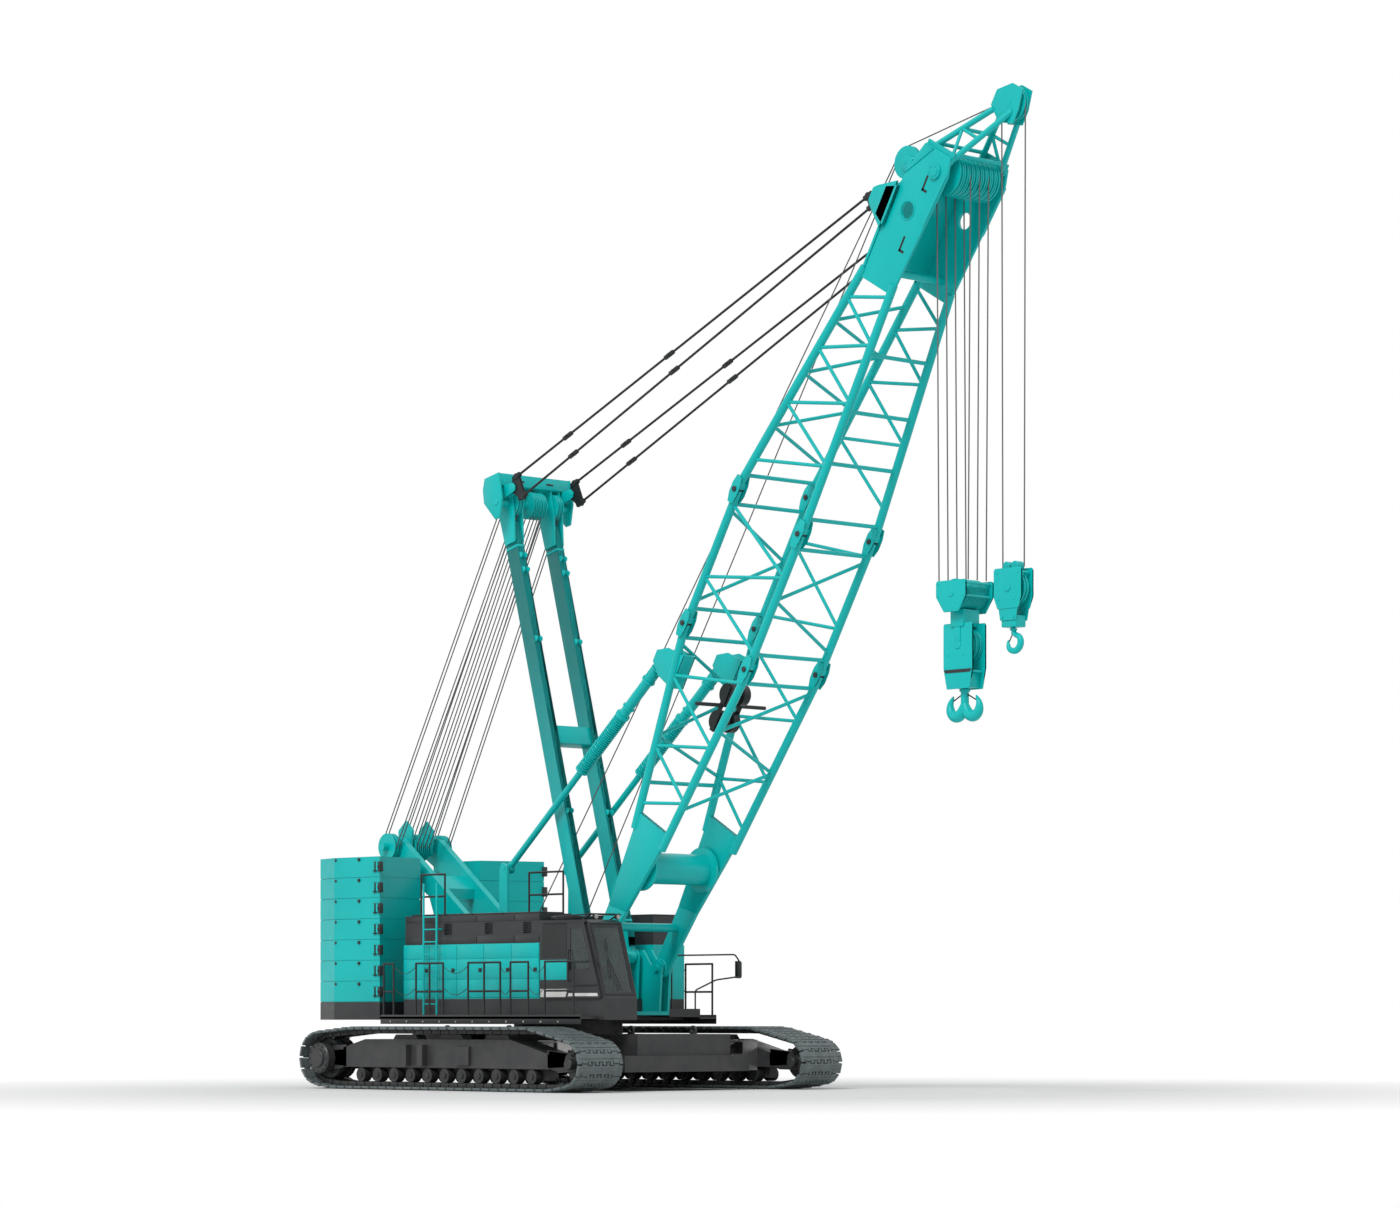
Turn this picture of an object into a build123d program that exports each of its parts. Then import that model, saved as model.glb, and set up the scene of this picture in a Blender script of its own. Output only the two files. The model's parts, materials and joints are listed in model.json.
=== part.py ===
from build123d import *
import math
import os

# Crawler crane with a lattice boom, all sizes in millimetres.
# Machine frame while modelling: X forward, Y to the machine's left, Z up, the slewing axis at
# X = Y = 0 and the ground at Z = 0.  Every part is moved by ORIGIN_SHIFT when it is written, so
# that the written frame has its origin on the ground midway between the tail and the boom's nose.

# ---------------------------------------------------------------- driving dimensions
# crawlers
GAUGE = 6400.0                # between the centre planes of the two tracks
SHOE_WIDTH = 1220.0
TUMBLER_CENTRES = 7920.0      # between the drive tumbler's axis and the idler's
TRACK_RADIUS = 675.0          # tumbler axis to the shoe's outer face
SHOE_THICKNESS = 70.0
LINK_DEPTH = 90.0             # shoe's inner face to the tumbler's tread
WHEEL_SHAFT = 120.0
SHOE_COUNT = 70
SHOE_GAP = 34.0               # slot between two shoes
SHOE_CHAMFER = 22.0
TOE_X = 3750.0                # where the shoes start to lift off the ground before each wheel
TOE_RISE = math.tan(math.radians(8))
ROLLER_COUNT = 11
ROLLER_RADIUS = 150.0
ROLLER_AXLE = 60.0
SEAT_GAP = 0.3                # between faces that rest on each other
ROLLER_PITCH = 560.0
SIDE_FRAME_WIDTH = 620.0
SIDE_FRAME_BOTTOM = 475.0
KEEL_HALF = 110.0              # the keel plate under the side frame carries the axles
KEEL_BOTTOM = 235.0
SIDE_FRAME_TOP = 1075.0
SIDE_FRAME_HALF = 3400.0      # half the length of the side frame's box

# car body
CARBODY_HALF_LENGTH = 1500.0
CARBODY_HALF_WIDTH = 1450.0
CARBODY_BOTTOM = 480.0
CARBODY_TOP = 1180.0
AXLE_X = 1080.0               # cross beams, fore and aft of the slewing axis
AXLE_WIDTH = 760.0
AXLE_TOP = 1060.0
RING_RADIUS = 1180.0
RING_TOP = 1430.0
WEIGHT_INNER_X = 2050.0       # car body weights: two layers, fore and aft
WEIGHT_LOWER = (3790.0, 1800.0, 400.0, 740.0)   # front face, half width, bottom, top
WEIGHT_UPPER = (3680.0, 1340.0, 740.0, 1190.0)

# upper works
HOUSE_SIDE = 2100.0           # outer face of the houses and of the cab
HOUSE_INNER = 1180.0
HOUSE_REAR = -3050.0
HOUSE_FRONT = 1440.0
DECK_BOTTOM = 1490.0
DECK_TOP = 1940.0
PANEL_TOP = 3120.0
HOUSE_TOP = 3750.0
HOUSE_WALL = 60.0
CATWALK_EDGE = 2600.0
CATWALK_Z = 1560.0            # walking face
CATWALK_THICKNESS = 50.0
CAB_FRONT = 3490.0
CAB_ROOF_FRONT = 2940.0
CAB_TOP = 3590.0
CAB_WALL = 60.0
DOOR_REAR = 2370.0
DOOR_SETBACK = 60.0           # the door's front edge behind the windscreen's plane

# counterweight
STACK_BOTTOM = 1490.0
STACK_BASE = 390.0
STACK_LAYERS = 7
STACK_LAYER = 457.0
STACK_SEAM = 14.0

# gantry, mast and boom feet: X and Z of each pin's axis
BOOM_FOOT = (1900.0, 2600.0)
MAST_FOOT = (1330.0, 2850.0)
MAST_HEAD = (-1235.0, 12350.0)
MAST_LEG_Y = 580.0
MAST_LEG_DEPTH = 360.0
MAST_LEG_THICK = 200.0
GANTRY_TOP = (-5200.0, 5380.0)
GANTRY_Y = 560.0
BACKSTOP_FOOT = (-960.0, 4780.0)
BACKSTOP_Y = 860.0
BACKSTOP_TUBE = 130.0         # radii of the tube and of the bar that slides in it
BACKSTOP_BAR = 70.0
BACKSTOP_BORE = 70.5

# boom, in its own frame: X along the boom from the foot pin, Z towards its back
BOOM_ANGLE = 59.58
BASE_LENGTH = 7620.0
INSERT_LENGTH = 3050.0
TOP_LENGTH = 7620.0
BOOM_HALF_WIDTH = 1030.0      # to the chords' axes
BOOM_HALF_DEPTH = 1060.0
CHORD_RADIUS = 88.0
REEL_CARRIER_X = 6300.0
HEAD_HALF_WIDTH = 850.0
HEAD_PLATE = 60.0
HEAD_SHAFT = (18310.0, -650.0)   # main sheaves' shaft in the boom's frame
JIB_SHAFT = (20040.0, -1130.0)   # auxiliary sheave's shaft
GUIDE_SHAFT = (17990.0, 950.0)
SHEAVE_RADIUS = 420.0
SHEAVE_COUNT = 9
SHEAVE_PITCH = 130.0
GROOVE = 45.0                 # depth of every sheave's groove
FALL_RADIUS = 14.0
BACKSTOP_HEAD = (6610.0, 1450.0)
PENDANT_Y = 844.0
PENDANT_HEAD = (17300.0, 600.0)  # lugs that take the pendants, in the boom's frame

# hook blocks: X of the hanging line and heights of what hangs there
MAIN_BLOCK_TOP = 10120.0
AUX_BLOCK_TOP = 10290.0

TAIL_X = -5860.0
NOSE_X = 13500.0
ORIGIN_SHIFT = -(TAIL_X + NOSE_X) / 2

PARTS = {}


# ---------------------------------------------------------------- helpers
def box(x0, x1, y0, y1, z0, z1):
    """A block between two corners."""
    return Pos((x0 + x1) / 2, (y0 + y1) / 2, (z0 + z1) / 2) * Box(x1 - x0, y1 - y0, z1 - z0)


def slab_y(outline, y0, y1):
    """An outline of (x, z) points, as thick as the way from y0 to y1."""
    face = Polygon(*outline, align=None)
    return Pos(0, y1, 0) * Rot(90, 0, 0) * extrude(face, y1 - y0, dir=(0, 0, 1))


def slab_z(outline, z0, z1):
    """An outline of (x, y) points between two heights."""
    return Pos(0, 0, z0) * extrude(Polygon(*outline, align=None), z1 - z0, dir=(0, 0, 1))


def disc_y(x, z, radius, y0, y1):
    """A cylinder whose axis runs along Y."""
    return Pos(x, (y0 + y1) / 2, z) * Rot(90, 0, 0) * Cylinder(radius, y1 - y0)


def rod(a, b, radius):
    """A round bar between two points."""
    start, end = Vector(*a), Vector(*b)
    plane = Plane(origin=start, z_dir=end - start)
    return extrude(plane * Circle(radius), (end - start).length)


def both_sides(shape):
    """The shape and its mirror image across the machine's middle plane."""
    return [shape, mirror(shape, Plane.XZ)]


def fuse(shapes, place=None):
    """One solid, or several where they don't touch, from shapes that are first put in place."""
    if place is not None:
        shapes = [place * shape for shape in shapes]
    first, *rest = shapes
    return first.fuse(*rest) if rest else first


def group(shapes):
    """Several solids that don't touch, as one part."""
    return Compound([solid for shape in shapes for solid in shape.solids()])


def along(a, b, share):
    """The point at a share of the way from a to b."""
    return tuple(p + (q - p) * share for p, q in zip(a, b))


BOOM = Pos(BOOM_FOOT[0], 0, BOOM_FOOT[1]) * Rot(0, -BOOM_ANGLE, 0)
MAST_TILT = math.degrees(math.atan2(MAST_FOOT[0] - MAST_HEAD[0], MAST_HEAD[1] - MAST_FOOT[1]))
MAST_LENGTH = math.dist(MAST_FOOT, MAST_HEAD)
MAST_SHAFT = MAST_LENGTH - 50                 # the hoist sheaves' shaft in the mast's frame
MAST_SHEAVE = 290.0
PENDANT_PIN = (603.0, MAST_LENGTH + 562)      # in the mast's frame
MAST = Pos(MAST_FOOT[0], 0, MAST_FOOT[1]) * Rot(0, -MAST_TILT, 0)


def mast_point(x, z):
    """Machine X and Z of a point that is given in the mast's frame."""
    angle = math.radians(MAST_TILT)
    return (MAST_FOOT[0] + x * math.cos(angle) - z * math.sin(angle),
            MAST_FOOT[1] + x * math.sin(angle) + z * math.cos(angle))


def boom_point(x, z):
    """Machine X and Z of a point that is given in the boom's frame."""
    angle = math.radians(BOOM_ANGLE)
    return (BOOM_FOOT[0] + x * math.cos(angle) - z * math.sin(angle),
            BOOM_FOOT[1] + x * math.sin(angle) + z * math.cos(angle))


# ---------------------------------------------------------------- crawlers
def loop_outline(radius, half):
    """The stadium round both tumblers as a face in the XZ plane's own axes."""
    return SlotOverall(2 * (half + radius), 2 * radius)


def track_loop():
    """The closed belt: shoes parted by slots on the outside, links on the inside."""
    half = TUMBLER_CENTRES / 2
    outer = TRACK_RADIUS
    inner = outer - SHOE_THICKNESS - LINK_DEPTH
    belt = loop_outline(outer, half) - loop_outline(inner, half)
    length = 4 * half + 2 * math.pi * outer
    pitch = length / SHOE_COUNT
    slots = []
    for i in range(SHOE_COUNT):
        s = (i + 0.5) * pitch
        slots.append(shoe_slot(s, half, outer))
    run, rise = 700, 700 * TOE_RISE
    toe = Polygon((TOE_X, -outer), (TOE_X + run, -outer + rise), (TOE_X + run, -outer - 20), (TOE_X, -outer - 20),
                  align=None)
    belt = belt - [*slots, toe, mirror(toe, Plane.YZ)]
    return extrude(belt, SHOE_WIDTH)


def shoe_slot(s, half, outer):
    """One slot, narrowing inward, at the way s round the belt's outside."""
    run = 2 * half
    arc = math.pi * outer
    cut = Polygon((-SHOE_GAP / 2, -SHOE_THICKNESS), (SHOE_GAP / 2, -SHOE_THICKNESS),
                  (SHOE_GAP / 2 + SHOE_CHAMFER, 5), (-SHOE_GAP / 2 - SHOE_CHAMFER, 5), align=None)
    if s < run:
        place = Pos(half - s, outer) * Rot(0, 0, 0)
    elif s < run + arc:
        turn = math.degrees((s - run) / outer)
        place = Pos(-half, 0) * Rot(0, 0, turn) * Pos(0, outer)
    elif s < 2 * run + arc:
        place = Pos(-half + (s - run - arc), -outer) * Rot(0, 0, 180)
    else:
        turn = 180 + math.degrees((s - 2 * run - arc) / outer)
        place = Pos(half, 0) * Rot(0, 0, turn) * Pos(0, outer)
    return place * cut


def roller_places():
    """X of each bottom roller, and the height of their axles."""
    xs = [(i - (ROLLER_COUNT - 1) / 2) * ROLLER_PITCH for i in range(ROLLER_COUNT)]
    return xs, SHOE_THICKNESS + LINK_DEPTH + SEAT_GAP + ROLLER_RADIUS


def side_frame(side):
    """The box that carries one crawler, with its ribs, skids and cover."""
    mid = side * GAUGE / 2
    y0, y1 = mid - SIDE_FRAME_WIDTH / 2, mid + SIDE_FRAME_WIDTH / 2
    low, top, half = SIDE_FRAME_BOTTOM, SIDE_FRAME_TOP, SIDE_FRAME_HALF
    body = slab_y([(-half, low), (half, low), (half, low + 290), (2150, top),
                   (-2650, top), (-half, low + 420)], y0, y1)
    outer = mid + side * SIDE_FRAME_WIDTH / 2
    reach = outer + side * 150
    ribs = []
    for x in (-1180, -640):
        ribs.append(slab_y([(x - 90, low + 40), (x + 90, low + 40), (x + 90, top - 120),
                            (x - 90, top - 120)], *sorted((outer - side * 20, reach))))
    ribs.append(box(420, 860, *sorted((outer - side * 20, outer + side * 60)), low + 60, top - 150))
    skids = []
    for x in (-1500, 0, 1500):
        skids.append(slab_y([(x - 420, top - 10), (x + 420, top - 10), (x + 330, top + 100),
                             (x - 330, top + 100)], mid - 130, mid + 130))
    forks = []
    for end in (-1, 1):
        for off in (-1, 1):
            y = mid + off * (SIDE_FRAME_WIDTH / 2 - 40)
            tip = end * (TUMBLER_CENTRES / 2 + 160)
            root = end * (half - 60)
            forks.append(slab_y([(root, low + 20), (tip, low + 60), (tip, TRACK_RADIUS + 130),
                                 (root, TRACK_RADIUS + 180)], y - 40, y + 40))
    xs, z = roller_places()
    keel = box(-half + 300, half - 300, mid - KEEL_HALF, mid + KEEL_HALF, KEEL_BOTTOM, low)
    axles = [disc_y(x, z, ROLLER_AXLE, mid - KEEL_HALF, mid + KEEL_HALF) for x in xs]
    hubs = [disc_y(end * TUMBLER_CENTRES / 2, TRACK_RADIUS, WHEEL_SHAFT, mid - 600, mid + 600)
            for end in (-1, 1)]
    return fuse([body, *ribs, *skids, *forks, keel]) - [*axles, *hubs]


def drive_tumbler(side):
    """The toothed wheel at the rear with its hub and travel motor's cover."""
    mid = side * GAUGE / 2
    x, z = -TUMBLER_CENTRES / 2, TRACK_RADIUS
    tread = TRACK_RADIUS - SHOE_THICKNESS - LINK_DEPTH - SEAT_GAP
    gap = SIDE_FRAME_WIDTH / 2 - 85
    wheel = disc_y(x, z, tread, mid - gap, mid + gap)
    notches = []
    for i in range(9):
        turn = math.radians(40 * i)
        notches.append(disc_y(x + tread * math.cos(turn), z + tread * math.sin(turn), 70,
                              mid - gap - 1, mid + gap + 1))
    wheel = wheel - notches
    shaft = disc_y(x, z, WHEEL_SHAFT, mid - 560, mid + 560)
    hub = disc_y(x, z, 250, *sorted((mid + side * (SIDE_FRAME_WIDTH / 2 + 3), mid + side * 560)))
    return fuse([wheel, shaft, hub])


def idler(side):
    """The front wheel that the belt turns round, in its fork."""
    mid = side * GAUGE / 2
    x, z = TUMBLER_CENTRES / 2, TRACK_RADIUS
    tread = TRACK_RADIUS - SHOE_THICKNESS - LINK_DEPTH - SEAT_GAP
    gap = SIDE_FRAME_WIDTH / 2 - 85
    wheel = disc_y(x, z, tread, mid - gap, mid + gap)
    groove = disc_y(x, z, tread + 5, mid - 60, mid + 60) - disc_y(x, z, tread - 60, mid - 61, mid + 61)
    shaft = disc_y(x, z, WHEEL_SHAFT, mid - 400, mid + 400)
    return fuse([wheel - groove, shaft])


def track_rollers(side):
    """The bottom rollers, each with its axle seated in the side frame's lower flange."""
    mid = side * GAUGE / 2
    xs, z = roller_places()
    rollers = []
    for x in xs:
        rollers.append(fuse([disc_y(x, z, ROLLER_RADIUS, mid - 310, mid - KEEL_HALF - 5),
                             disc_y(x, z, ROLLER_RADIUS, mid + KEEL_HALF + 5, mid + 310),
                             disc_y(x, z, ROLLER_AXLE, mid - 330, mid + 330)]))
    return rollers


def car_body():
    """Centre box, cross beams to the side frames and the lower ring seat."""
    half_l, half_w = CARBODY_HALF_LENGTH, CARBODY_HALF_WIDTH
    cut = 420
    core = slab_z([(-half_l, -half_w + cut), (-half_l + cut, -half_w), (half_l - cut, -half_w),
                   (half_l, -half_w + cut), (half_l, half_w - cut), (half_l - cut, half_w),
                   (-half_l + cut, half_w), (-half_l, half_w - cut)], CARBODY_BOTTOM, CARBODY_TOP)
    reach = GAUGE / 2 - SIDE_FRAME_WIDTH / 2
    beams = []
    for end in (-1, 1):
        x0, x1 = sorted((end * (AXLE_X - AXLE_WIDTH / 2), end * (AXLE_X + AXLE_WIDTH / 2)))
        beams.append(box(x0, x1, -reach, reach, CARBODY_BOTTOM + 40, AXLE_TOP))
    shelves = []
    for end in (-1, 1):
        x0, x1 = sorted((end * (half_l - 20), end * WEIGHT_INNER_X))
        shelves.append(box(x0, x1, -900, 900, CARBODY_BOTTOM + 60, CARBODY_BOTTOM + 380))
    return fuse([core, *beams, *shelves])


def slewing_ring():
    """The toothed ring on the car body, on which the upper works turn."""
    ring = Pos(0, 0, (CARBODY_TOP + RING_TOP) / 2) * Cylinder(RING_RADIUS, RING_TOP - CARBODY_TOP)
    bore = Pos(0, 0, (CARBODY_TOP + RING_TOP) / 2) * Cylinder(RING_RADIUS - 230, RING_TOP)
    return ring - bore


def car_body_weight(end):
    """Two cast layers that hang on one end of the car body."""
    layers = []
    for front, half, low, top in (WEIGHT_LOWER, WEIGHT_UPPER):
        x0, x1 = sorted((end * WEIGHT_INNER_X, end * front))
        layers.append(box(x0, x1, -half, half, low, top))
    block = fuse(layers)
    lugs = []
    for side in (-1, 1):
        x = end * 3000
        lugs.append(fuse([box(x - 90, x + 90, side * 900 - 25, side * 900 + 25, 1170, 1280),
                          disc_y(x, 1280, 90, side * 900 - 25, side * 900 + 25)])
                    - disc_y(x, 1280, 45, side * 900 - 60, side * 900 + 60))
    return fuse([block, *lugs])


def access_steps(side):
    """Folded step at the front of one side frame's inner face."""
    inner = side * (GAUGE / 2 - SIDE_FRAME_WIDTH / 2)
    y0, y1 = sorted((inner, inner - side * 420))
    treads = [box(2300, 2900, y0, y1, z, z + 35) for z in (430, 720, 1010)]
    cheeks = [box(x, x + 30, y0, y1, 400, 1060) for x in (2285, 2885)]
    return fuse([*treads, *cheeks])


# ---------------------------------------------------------------- upper works
def upper_frame():
    """Deck with its turntable collar, side girders and tail beam."""
    collar = Pos(0, 0, (RING_TOP + DECK_BOTTOM) / 2 + 5) * Cylinder(RING_RADIUS - 60,
                                                                    DECK_BOTTOM - RING_TOP + 10)
    deck = box(HOUSE_REAR, HOUSE_FRONT, -HOUSE_SIDE, HOUSE_SIDE, DECK_BOTTOM, DECK_TOP)
    tail = box(-5300, HOUSE_REAR + 10, -480, 480, DECK_BOTTOM + 420, DECK_TOP + 260)
    cab_sill = box(HOUSE_FRONT - 10, CAB_FRONT, -HOUSE_SIDE, -HOUSE_INNER, DECK_BOTTOM, DECK_TOP)
    left_sill = box(HOUSE_FRONT - 10, 1950, HOUSE_INNER, HOUSE_SIDE, DECK_BOTTOM + 60, DECK_BOTTOM + 240)
    return fuse([collar, deck, tail, cab_sill, left_sill])


def foot_brackets():
    """The four plates that take the boom's foot pins, and the mast's foot pins behind them."""
    plates = []
    fx, fz = BOOM_FOOT
    outline = [(700, DECK_TOP), (HOUSE_FRONT, DECK_TOP), (HOUSE_FRONT, DECK_BOTTOM + 100),
               (1960, DECK_BOTTOM + 100), (2020, fz - 150), (fx + 170, fz + 60), (fx, fz + 190),
               (fx - 190, fz + 60), (MAST_FOOT[0] + 120, MAST_FOOT[1] + 150),
               (MAST_FOOT[0] - 130, MAST_FOOT[1] + 150), (800, 2300)]
    for y in (860, 1110):
        plates.append(slab_y(outline, y, y + 60))
    mast_plate = [(MAST_FOOT[0] - 330, DECK_TOP), (MAST_FOOT[0] + 110, DECK_TOP),
                  (MAST_FOOT[0] + 160, MAST_FOOT[1] + 60), (MAST_FOOT[0] + 60, MAST_FOOT[1] + 160),
                  (MAST_FOOT[0] - 100, MAST_FOOT[1] + 160), (MAST_FOOT[0] - 170, MAST_FOOT[1] + 40)]
    for y in (MAST_LEG_Y - MAST_LEG_THICK / 2 - 70, MAST_LEG_Y + MAST_LEG_THICK / 2 + 20):
        plates.append(slab_y(mast_plate, y, y + 50))
    tie = box(HOUSE_FRONT, 1960, -1170, 1170, DECK_BOTTOM + 100, DECK_BOTTOM + 180)
    pins = [disc_y(fx, fz, 75, 800, HOUSE_INNER - 5),
            disc_y(*MAST_FOOT, 60, MAST_LEG_Y - 190, MAST_LEG_Y + 190)]
    shapes = []
    for shape in (*plates, *pins):
        shapes += both_sides(shape)
    return fuse([tie, *shapes])


def house(side):
    """Machinery house on one side: lower panels and the dark upper casing."""
    y0, y1 = sorted((side * HOUSE_INNER, side * HOUSE_SIDE))
    wall = HOUSE_WALL
    block = box(HOUSE_REAR, HOUSE_FRONT, y0, y1, DECK_TOP, PANEL_TOP)
    return block - box(HOUSE_REAR + wall, HOUSE_FRONT - wall, y0 + wall, y1 - wall, DECK_TOP + wall,
                       PANEL_TOP - wall)


def house_casing(side):
    """Upper casing of a machinery house, with grille openings in its outer face."""
    y0, y1 = sorted((side * HOUSE_INNER, side * (HOUSE_SIDE - 20)))
    wall = HOUSE_WALL
    casing = (box(HOUSE_REAR + 30, HOUSE_FRONT, y0, y1, PANEL_TOP, HOUSE_TOP)
              - box(HOUSE_REAR + 30 + wall, HOUSE_FRONT - wall, y0 + wall + 40, y1 - wall - 40,
                    PANEL_TOP + wall, HOUSE_TOP - wall))
    outer = side * (HOUSE_SIDE - 20)
    cuts = []
    for x in (-1700, -350, 900):
        cuts.append(box(x, x + 260, *sorted((outer - side * 60, outer + side * 10)),
                        HOUSE_TOP - 420, HOUSE_TOP - 180))
    return casing - cuts


def catwalk(side):
    """Walkway plate outside a house, on brackets under the deck's edge."""
    y0, y1 = sorted((side * HOUSE_SIDE, side * CATWALK_EDGE))
    front = 3300 if side < 0 else HOUSE_FRONT + 500
    plate = box(HOUSE_REAR - 200, front, y0, y1, CATWALK_Z - CATWALK_THICKNESS, CATWALK_Z)
    return plate


# Guard rail frames on the catwalk: rear post's X, front post's X, has a middle post
RAIL_FRAMES_RIGHT = [(-3180, -2840, False), (-2080, -1170, True), (-340, 710, True),
                     (1040, 1610, False), (2140, 3040, False)]
RAIL_FRAMES_LEFT = [(-3180, -2840, False), (-2080, -1170, True), (-340, 710, True),
                    (1000, 1850, False)]
RAIL_RADIUS = 22.0
RAIL_HEIGHT = 1150.0


def rail_frame(side, x0, x1, middle):
    """One guard rail frame: posts, top rail and middle rail."""
    y = side * (CATWALK_EDGE - 40)
    low, top = CATWALK_Z, CATWALK_Z + RAIL_HEIGHT
    posts = [x0, x1] + ([(x0 + x1) / 2] if middle else [])
    bars = [rod((x, y, low), (x, y, top), RAIL_RADIUS) for x in posts]
    for z in (top, low + RAIL_HEIGHT * 0.47):
        bars.append(rod((x0, y, z), (x1, y, z), RAIL_RADIUS))
    caps = [Pos(x, y, top) * Sphere(RAIL_RADIUS) for x in (x0, x1)]
    return fuse([*bars, *caps])


def guard_rails(side, frames):
    """The row of guard rail frames along one catwalk."""
    return [rail_frame(side, *row) for row in frames]


def roof_rails():
    """Guard rails on the right house's roof, at the ladder's head and by the mast."""
    shapes = []
    for x0, x1, y in ((-2550, -1750, -HOUSE_SIDE + 80), (200, 1300, -HOUSE_INNER - 120)):
        low, top = HOUSE_TOP, HOUSE_TOP + 900
        bars = [rod((x, y, low), (x, y, top), RAIL_RADIUS) for x in (x0, x1)]
        for z in (top, low + 420):
            bars.append(rod((x0, y, z), (x1, y, z), RAIL_RADIUS))
        caps = [Pos(x, y, top) * Sphere(RAIL_RADIUS) for x in (x0, x1)]
        shapes.append(fuse([*bars, *caps]))
    return shapes


def access_ladder():
    """Ladder from the right catwalk to the roof."""
    y = -HOUSE_SIDE - 130
    rails = []
    for x in (-2220, -1780):
        rails.append(rod((x, y, CATWALK_Z), (x, y, HOUSE_TOP + 700), 24))
        rails.append(rod((x, y, HOUSE_TOP - 300), (x, -HOUSE_SIDE + 20, HOUSE_TOP - 300), 20))
        rails.append(rod((x, y, DECK_TOP + 200), (x, -HOUSE_SIDE, DECK_TOP + 200), 20))
    rungs = []
    for i in range(8):
        z = CATWALK_Z + 270 * (i + 1)
        rungs.append(rod((-2220, y, z), (-1780, y, z), 15))
    return fuse([*rails, *rungs])


def cab_outline():
    """The cab's side outline as (x, z) points."""
    return [(HOUSE_FRONT + 10, DECK_TOP), (CAB_FRONT, DECK_TOP), (CAB_ROOF_FRONT + 60, CAB_TOP - 60),
            (CAB_ROOF_FRONT - 60, CAB_TOP), (HOUSE_FRONT + 10, CAB_TOP)]


def cab_inner_outline():
    """The same outline drawn in by the wall's thickness."""
    wall = CAB_WALL
    lean = (CAB_FRONT - CAB_ROOF_FRONT) / (CAB_TOP - DECK_TOP)
    return [(HOUSE_FRONT + 10 + wall, DECK_TOP + wall), (CAB_FRONT - wall - lean * wall - 15, DECK_TOP + wall),
            (CAB_ROOF_FRONT + 60 - wall, CAB_TOP - 60 - wall * 0.6),
            (CAB_ROOF_FRONT - 60 - wall, CAB_TOP - wall), (HOUSE_FRONT + 10 + wall, CAB_TOP - wall)]


def cab_shell():
    """The cab's walls, floor and roof with the windows and the doorway cut."""
    y0, y1 = -HOUSE_SIDE, -HOUSE_INNER
    shell = slab_y(cab_outline(), y0, y1) - slab_y(cab_inner_outline(), y0 + CAB_WALL, y1 - CAB_WALL)
    lean = (CAB_FRONT - CAB_ROOF_FRONT) / (CAB_TOP - DECK_TOP)
    front_low = DECK_TOP + 130
    windscreen = slab_y([(CAB_FRONT - lean * 130 - 260, front_low),
                         (CAB_FRONT - lean * 130 + 60, front_low),
                         (CAB_ROOF_FRONT + 130, CAB_TOP - 150), (CAB_ROOF_FRONT - 180, CAB_TOP - 150)],
                        y0 + 90, y1 - 90)
    doorway = slab_y(door_outline(40, DECK_TOP + 60, CAB_TOP - 90), y0 - 10, y0 + CAB_WALL + 5)
    guides = [box(HOUSE_FRONT + 120, CAB_ROOF_FRONT, y0 - 60, y0, CAB_TOP - 59.5, CAB_TOP - 25),
              box(HOUSE_FRONT + 120, CAB_FRONT - 100, y0 - 60, y0, DECK_TOP + 5, DECK_TOP + 29.5)]
    inner_window = box(1800, 2950, y1 - CAB_WALL - 5, y1 + 10, DECK_TOP + 700, CAB_TOP - 200)
    rear_window = box(HOUSE_FRONT, HOUSE_FRONT + 80, y0 + 180, y1 - 180, PANEL_TOP + 60, CAB_TOP - 120)
    return fuse([shell - windscreen - doorway - inner_window - rear_window, *guides])


def door_outline(inset, low, high):
    """The door's outline, leaning at its front with the cab, drawn in by an inset."""
    lean = (CAB_FRONT - CAB_ROOF_FRONT) / (CAB_TOP - DECK_TOP)
    front = CAB_FRONT - DOOR_SETBACK - inset
    return [(DOOR_REAR + inset, low), (front - lean * (low - DECK_TOP), low),
            (front - lean * (high - DECK_TOP), high), (DOOR_REAR + inset, high)]


def cab_door():
    """Sliding door on the cab's outer side, with its window cut."""
    y0 = -HOUSE_SIDE - 50
    door = slab_y(door_outline(0, DECK_TOP + 30, CAB_TOP - 60), y0, y0 + 40)
    return door - slab_y(door_outline(110, DECK_TOP + 620, CAB_TOP - 170), y0 - 5, y0 + 45)


def door_glass():
    """The pane in the door."""
    y0 = -HOUSE_SIDE - 40
    return slab_y(door_outline(110, DECK_TOP + 620, CAB_TOP - 170), y0, y0 + 20)


def operator_seat():
    """Seat on its pedestal."""
    y = -(HOUSE_SIDE + HOUSE_INNER) / 2
    floor = DECK_TOP + CAB_WALL
    pedestal = box(2180, 2520, y - 160, y + 160, floor, floor + 330)
    cushion = box(2100, 2640, y - 240, y + 240, floor + 330, floor + 450)
    back = slab_y([(2100, floor + 450), (2230, floor + 450), (2110, floor + 1050), (1990, floor + 1050)],
                  y - 230, y + 230)
    return fuse([pedestal, cushion, back])


# ---------------------------------------------------------------- counterweight and gantry
# Plan of one counterweight layer, on the left side: X, Y
STACK_PLAN = [(-3520, 2400), (-5050, 2450), (-5860, 2200), (-5860, 1200), (-5600, 870), (-3970, 870)]


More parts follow.
